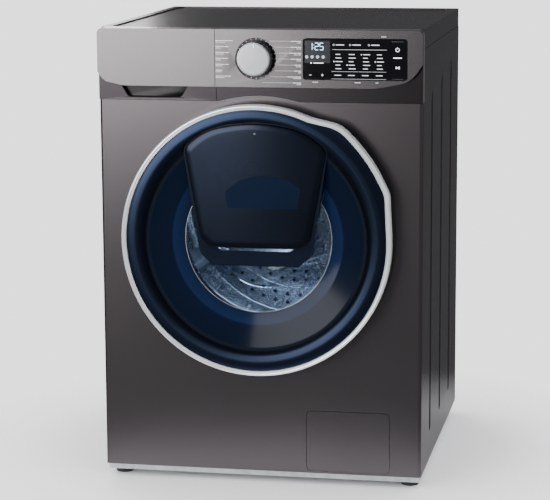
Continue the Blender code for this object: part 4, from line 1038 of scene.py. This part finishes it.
seal_rubber = surface("grey_rubber", {}, rubber(tone(92, 96, 100), tone(118, 122, 126)))
foot_rubber = surface("black_rubber", {}, rubber(tone(20, 20, 21), tone(36, 36, 38)))
seal_profile = rounded(
    [(0.1585, -0.0020), (0.1585, 0.0165), (0.1690, 0.0200), (0.1690, 0.0320), (0.1640, 0.0380),
     (0.1640, 0.0460), (0.1760, 0.0520), (0.1760, 0.0740), (0.1735, 0.0740), (0.1735, 0.0535),
     (0.1615, 0.0475), (0.1615, 0.0370), (0.1665, 0.0310), (0.1665, 0.0215), (0.1560, 0.0188),
     (0.1560, 0.0075), (0.1470, 0.0095), (0.1465, 0.0070), (0.1560, 0.0035), (0.1560, -0.0020)],
    [0.0008, 0.003, 0.004, 0.004, 0.003, 0.003, 0.004, 0.0008, 0.0008, 0.003,
     0.004, 0.004, 0.003, 0.002, 0.002, 0.001, 0.0008, 0.0008, 0.001, 0.0008],
)
seal = as_object(turned(seal_profile, door_axis), "seal_bellows", seal_rubber, 60)
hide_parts("door_seal")
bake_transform(seal)

# ---------------- drum
# A rolled stainless drum, pressed all over with small raised perforations. Four rolled beads
# run round it and three more are pressed in its perforated back. The lifters are plastic.
drum_low, drum_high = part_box("drum")
drum_r = (drum_high.x - drum_low.x) / 2
DRUM_WALL = 0.0015
MOUTH_R = 0.165


def brushed(place):
    grain = place.noise(260, 3.0, (1.0, 0.04, 1.0))
    stain = place.noise(9, 3.0)
    return {
        "Base Color": grain.between(tone(176, 178, 181), tone(214, 216, 218)),
        "Roughness": 0.16 + 0.14 * grain + 0.05 * stain,
        "Normal": grain.bump(0.00001, 0.2),
    }


stainless = surface("stainless", {"Metallic": 1.0}, brushed)
# The perforations' holes are near-black discs: painted shade, not openings.
hole_painted_shade = surface("perforation_shade", {}, mottled(400, 2.0, tone(10, 11, 13), tone(24, 25, 28), 0.6, 0.2))
drum_profile = rounded(
    [(0.0, 0.4200), (drum_r - 0.012, 0.4200), (drum_r, 0.4080), (drum_r, 0.1120), (drum_r - 0.014, 0.0980),
     (MOUTH_R, 0.0980), (MOUTH_R, 0.1080), (MOUTH_R + DRUM_WALL, 0.1080), (MOUTH_R + DRUM_WALL, 0.0995),
     (drum_r - 0.0147, 0.0995), (drum_r - DRUM_WALL, 0.1127), (drum_r - DRUM_WALL, 0.4073),
     (drum_r - 0.0127, 0.4185), (0.0, 0.4185)],
    [0, 0.006, 0.006, 0.006, 0.006, 0.001, 0, 0, 0.001, 0.006, 0.006, 0.006, 0.006, 0],
)
drum = as_object(turned(drum_profile, door_axis, closed=False), "drum_shell", stainless, 50)
stands_for(drum, "drum")


def add_perforation(bm, matrix, radius):
    """A raised lip round a hole, standing along the matrix's Z. The hole is a near-black disc of painted
    shade.
    """
    made = bmesh.ops.create_circle(bm, cap_ends=True, segments=10, radius=radius, matrix=matrix)
    face = made["verts"][0].link_faces[0]
    lip = bmesh.ops.extrude_discrete_faces(bm, faces=[face])["faces"][0]
    up = matrix.to_3x3() @ Vector((0, 0, 1))
    walls = bmesh.ops.inset_region(bm, faces=[lip], thickness=radius * 0.38, depth=0.0)["faces"]
    bmesh.ops.translate(bm, verts=lip.verts, vec=up * 0.0003)
    for wall in walls:
        wall.material_index = 0
    # The middle disc is the hole, painted near black as painted shade.
    lip.material_index = 1


LIFTER_ANGLES = (90, 210, 330)
ROWS = 15
AROUND = 60
bm = bmesh.new()
for row in range(ROWS):
    depth = 0.128 + row * 0.0188
    for step in range(AROUND):
        degrees = (step + 0.5 * (row % 2)) * 360 / AROUND
        nearest = min(abs((degrees - lifter + 180) % 360 - 180) for lifter in LIFTER_ANGLES)
        if nearest < 9:
            continue
        angle = math.radians(degrees)
        inward = Vector((-math.cos(angle), 0.0, -math.sin(angle)))
        place = Vector((0.0, front + depth, door_z)) - inward * (drum_r - DRUM_WALL - 0.0001)
        turn = inward.to_track_quat("Z", "Y").to_matrix().to_4x4()
        add_perforation(bm, Matrix.Translation(place) @ turn, 0.0042)
BACK_RINGS = ((0.060, 14), (0.080, 20), (0.101, 26), (0.142, 36), (0.160, 40), (0.191, 46), (0.208, 50))
for radius, count in BACK_RINGS:
    for step in range(count):
        angle = 2 * math.pi * (step + 0.5) / count
        place = (radius * math.cos(angle), front + 0.4184, door_z + radius * math.sin(angle))
        turn = Matrix.Rotation(math.pi / 2, 4, "X")
        add_perforation(bm, Matrix.Translation(place) @ turn, 0.0058)
perforations = as_object(bm, "drum_perforations", stainless, 30)
perforations.data.materials.append(hole_painted_shade)
belongs(perforations, "drum")

beads = []
inner = drum_r - DRUM_WALL
for number, depth in enumerate((0.170, 0.178, 0.262, 0.346), 1):
    ridge = [(inner, depth - 0.0030), (inner - 0.0022, depth), (inner, depth + 0.0030)]
    beads.append((f"drum_bead_{number}", ridge, 0.0016))
for number, radius in enumerate((0.118, 0.127, 0.176), 1):
    ridge = [(radius - 0.0034, 0.4186), (radius, 0.4158), (radius + 0.0034, 0.4186)]
    beads.append((f"drum_back_bead_{number}", ridge, 0.0018))
for name, ridge, crest in beads:
    bead = turned(rounded(ridge, [0, crest, 0], 5, closed=False), door_axis)
    belongs(as_object(bead, name, stainless, 60), "drum")

lifter_grain = grained(tone(120, 124, 130), tone(146, 150, 156))
lifter_plastic = surface("lifter_plastic", {"Coat Weight": 0.3}, lifter_grain)
for number in (1, 2, 3):
    skinned(f"drum_lifter_{number}", lifter_plastic, 0.0012)

# ---------------- tub, weights and suspension
# The plastic tub hangs on two springs and stands on two friction dampers. Cast concrete
# weights on its top and front keep it still while it spins.
def cast_grey(place):
    pebble = place.noise(120, 6.0)
    pit = place.node("TexVoronoi", {"feature": "F1"}, {"Vector": place, "Scale": 160.0}, "Distance")
    return {
        "Base Color": pebble.between(tone(128, 125, 120), tone(176, 173, 167)),
        "Roughness": 0.80 + 0.15 * pebble,
        "Normal": (pebble * 0.7 + pit * 0.5).bump(0.0006, 0.7),
    }


concrete = surface("cast_concrete", {}, cast_grey)
skinned("tub_front", tub_plastic)
skinned("tub_rear", tub_plastic)
skinned("counterweight_top", concrete, 0.002)
skinned("counterweight_front", concrete, 0.002)
for side in ("left", "right"):
    skinned("damper_cylinder_" + side, black_plastic)
    skinned("damper_rod_" + side, white_plastic)

WIRE_R = 0.0014
COILS = 11
for side in ("left", "right"):
    low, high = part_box("spring_" + side)
    middle = (low + high) / 2
    coil_r = (high.x - low.x) / 2 - WIRE_R
    curve = bpy.data.curves.new("coil", "CURVE")
    curve.dimensions = "3D"
    curve.bevel_depth = WIRE_R
    curve.bevel_resolution = 3
    curve.use_fill_caps = True
    spline = curve.splines.new("POLY")
    count = COILS * 20
    spline.points.add(count)
    for step, point in enumerate(spline.points):
        angle = 2 * math.pi * COILS * step / count
        rise = low.z + WIRE_R + (high.z - low.z - 2 * WIRE_R) * step / count
        point.co = (middle.x + coil_r * math.cos(angle), middle.y + coil_r * math.sin(angle), rise, 1.0)
    holder = bpy.data.objects.new("coil", curve)
    bpy.context.scene.collection.objects.link(holder)
    bpy.context.view_layer.update()
    graph = bpy.context.evaluated_depsgraph_get()
    mesh = bpy.data.meshes.new_from_object(holder.evaluated_get(graph))
    bpy.data.objects.remove(holder)
    bm = bmesh.new()
    bm.from_mesh(mesh)
    bmesh.ops.remove_doubles(bm, verts=bm.verts, dist=1e-6)
    bmesh.ops.recalc_face_normals(bm, faces=bm.faces)
    coil = as_object(bm, "coil_spring_" + side, plated, 60)
    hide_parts("spring_" + side)
    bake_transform(coil)

# ---------------- drive
# The die-cast spider carries the drum on its shaft. A ribbed belt runs from the motor's
# small pulley to the large spoked one.
def cast_metal(place):
    sand = place.noise(500, 3.0)
    return {
        "Base Color": sand.between(tone(168, 170, 172), tone(198, 200, 202)),
        "Roughness": 0.34 + 0.18 * sand,
        "Normal": sand.bump(0.0001, 0.6),
    }


die_cast = surface("die_cast", {"Metallic": 1.0}, cast_metal)
skinned("drum_spider", die_cast)
skinned("drum_pulley", die_cast)
skinned("motor_pulley", plated)
skinned("motor", black_plastic)
skinned("drive_belt", foot_rubber)
skinned("bearing_front", plated)
skinned("bearing_rear", plated)

# ---------------- detergent drawer
# A white tray with four wells slides out of a white housing that the water falls through.
# The softener well has a blue siphon cap.
skinned("drawer_tray", white_plastic, 0.0006)
skinned("dispenser_housing", white_plastic)
skinned("inlet_valve", white_plastic, 0.0004)
cap_blue = surface("cap_blue", {}, grained(tone(70, 120, 176), tone(92, 142, 196)))
tray_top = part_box("drawer_tray")[1].z
cap_mid = (-0.1867, front + 0.185)
CAP_SIZE = (0.0560, 0.1180, 0.0030)
bm = bmesh.new()
bmesh.ops.create_cube(
    bm, size=1.0,
    matrix=Matrix.Translation((*cap_mid, tray_top - 0.0060)) @ Matrix.Diagonal((*CAP_SIZE, 1.0)),
)
bmesh.ops.create_cone(
    bm, cap_ends=True, segments=32, radius1=0.0100, radius2=0.0088, depth=0.030,
    matrix=Matrix.Translation((*cap_mid, tray_top - 0.0225)),
)
bmesh.ops.bevel(bm, geom=bm.edges[:], offset=0.0008, affect="EDGES", segments=2, profile=0.5, material=-1)
belongs(as_object(bm, "softener_cap", cap_blue), "drawer")

# ---------------- pump and filter
# The drain pump stands behind the service flap. Its filter screws out by a crossbar.
skinned("drain_pump", white_plastic)
skinned("pump_filter", black_plastic, 0.0008)

# ---------------- feet
# Rubber levelling feet: a broad pad with a collar, on a plain stem that goes up into the base.
FOOT_STEM_R = 0.0050
for node in ("foot_front_left", "foot_front_right", "foot_rear_left", "foot_rear_right"):
    low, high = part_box(node)
    middle = (low + high) / 2
    radius = (high.x - low.x) / 2
    section = rounded(
        [(0.0, 0.0), (radius, 0.0), (radius, 0.0050), (radius * 0.80, 0.0085), (radius * 0.80, 0.0125),
         (FOOT_STEM_R, 0.0125), (FOOT_STEM_R, high.z), (0.0, high.z)],
        [0, 0.0012, 0.0015, 0.0010, 0.0008, 0, 0.0006, 0],
    )
    bm = bmesh.new()
    verts = [bm.verts.new((middle.x + r, middle.y, z)) for r, z in section]
    edges = [bm.edges.new(pair) for pair in zip(verts, verts[1:])]
    bmesh.ops.spin(
        bm, geom=verts + edges, cent=(middle.x, middle.y, 0), axis=(0, 0, 1), angle=2 * math.pi, steps=48,
        use_merge=True,
    )
    bmesh.ops.remove_doubles(bm, verts=bm.verts, dist=1e-6)
    bmesh.ops.recalc_face_normals(bm, faces=bm.faces)
    stands_for(as_object(bm, node + "_pad", foot_rubber), node)
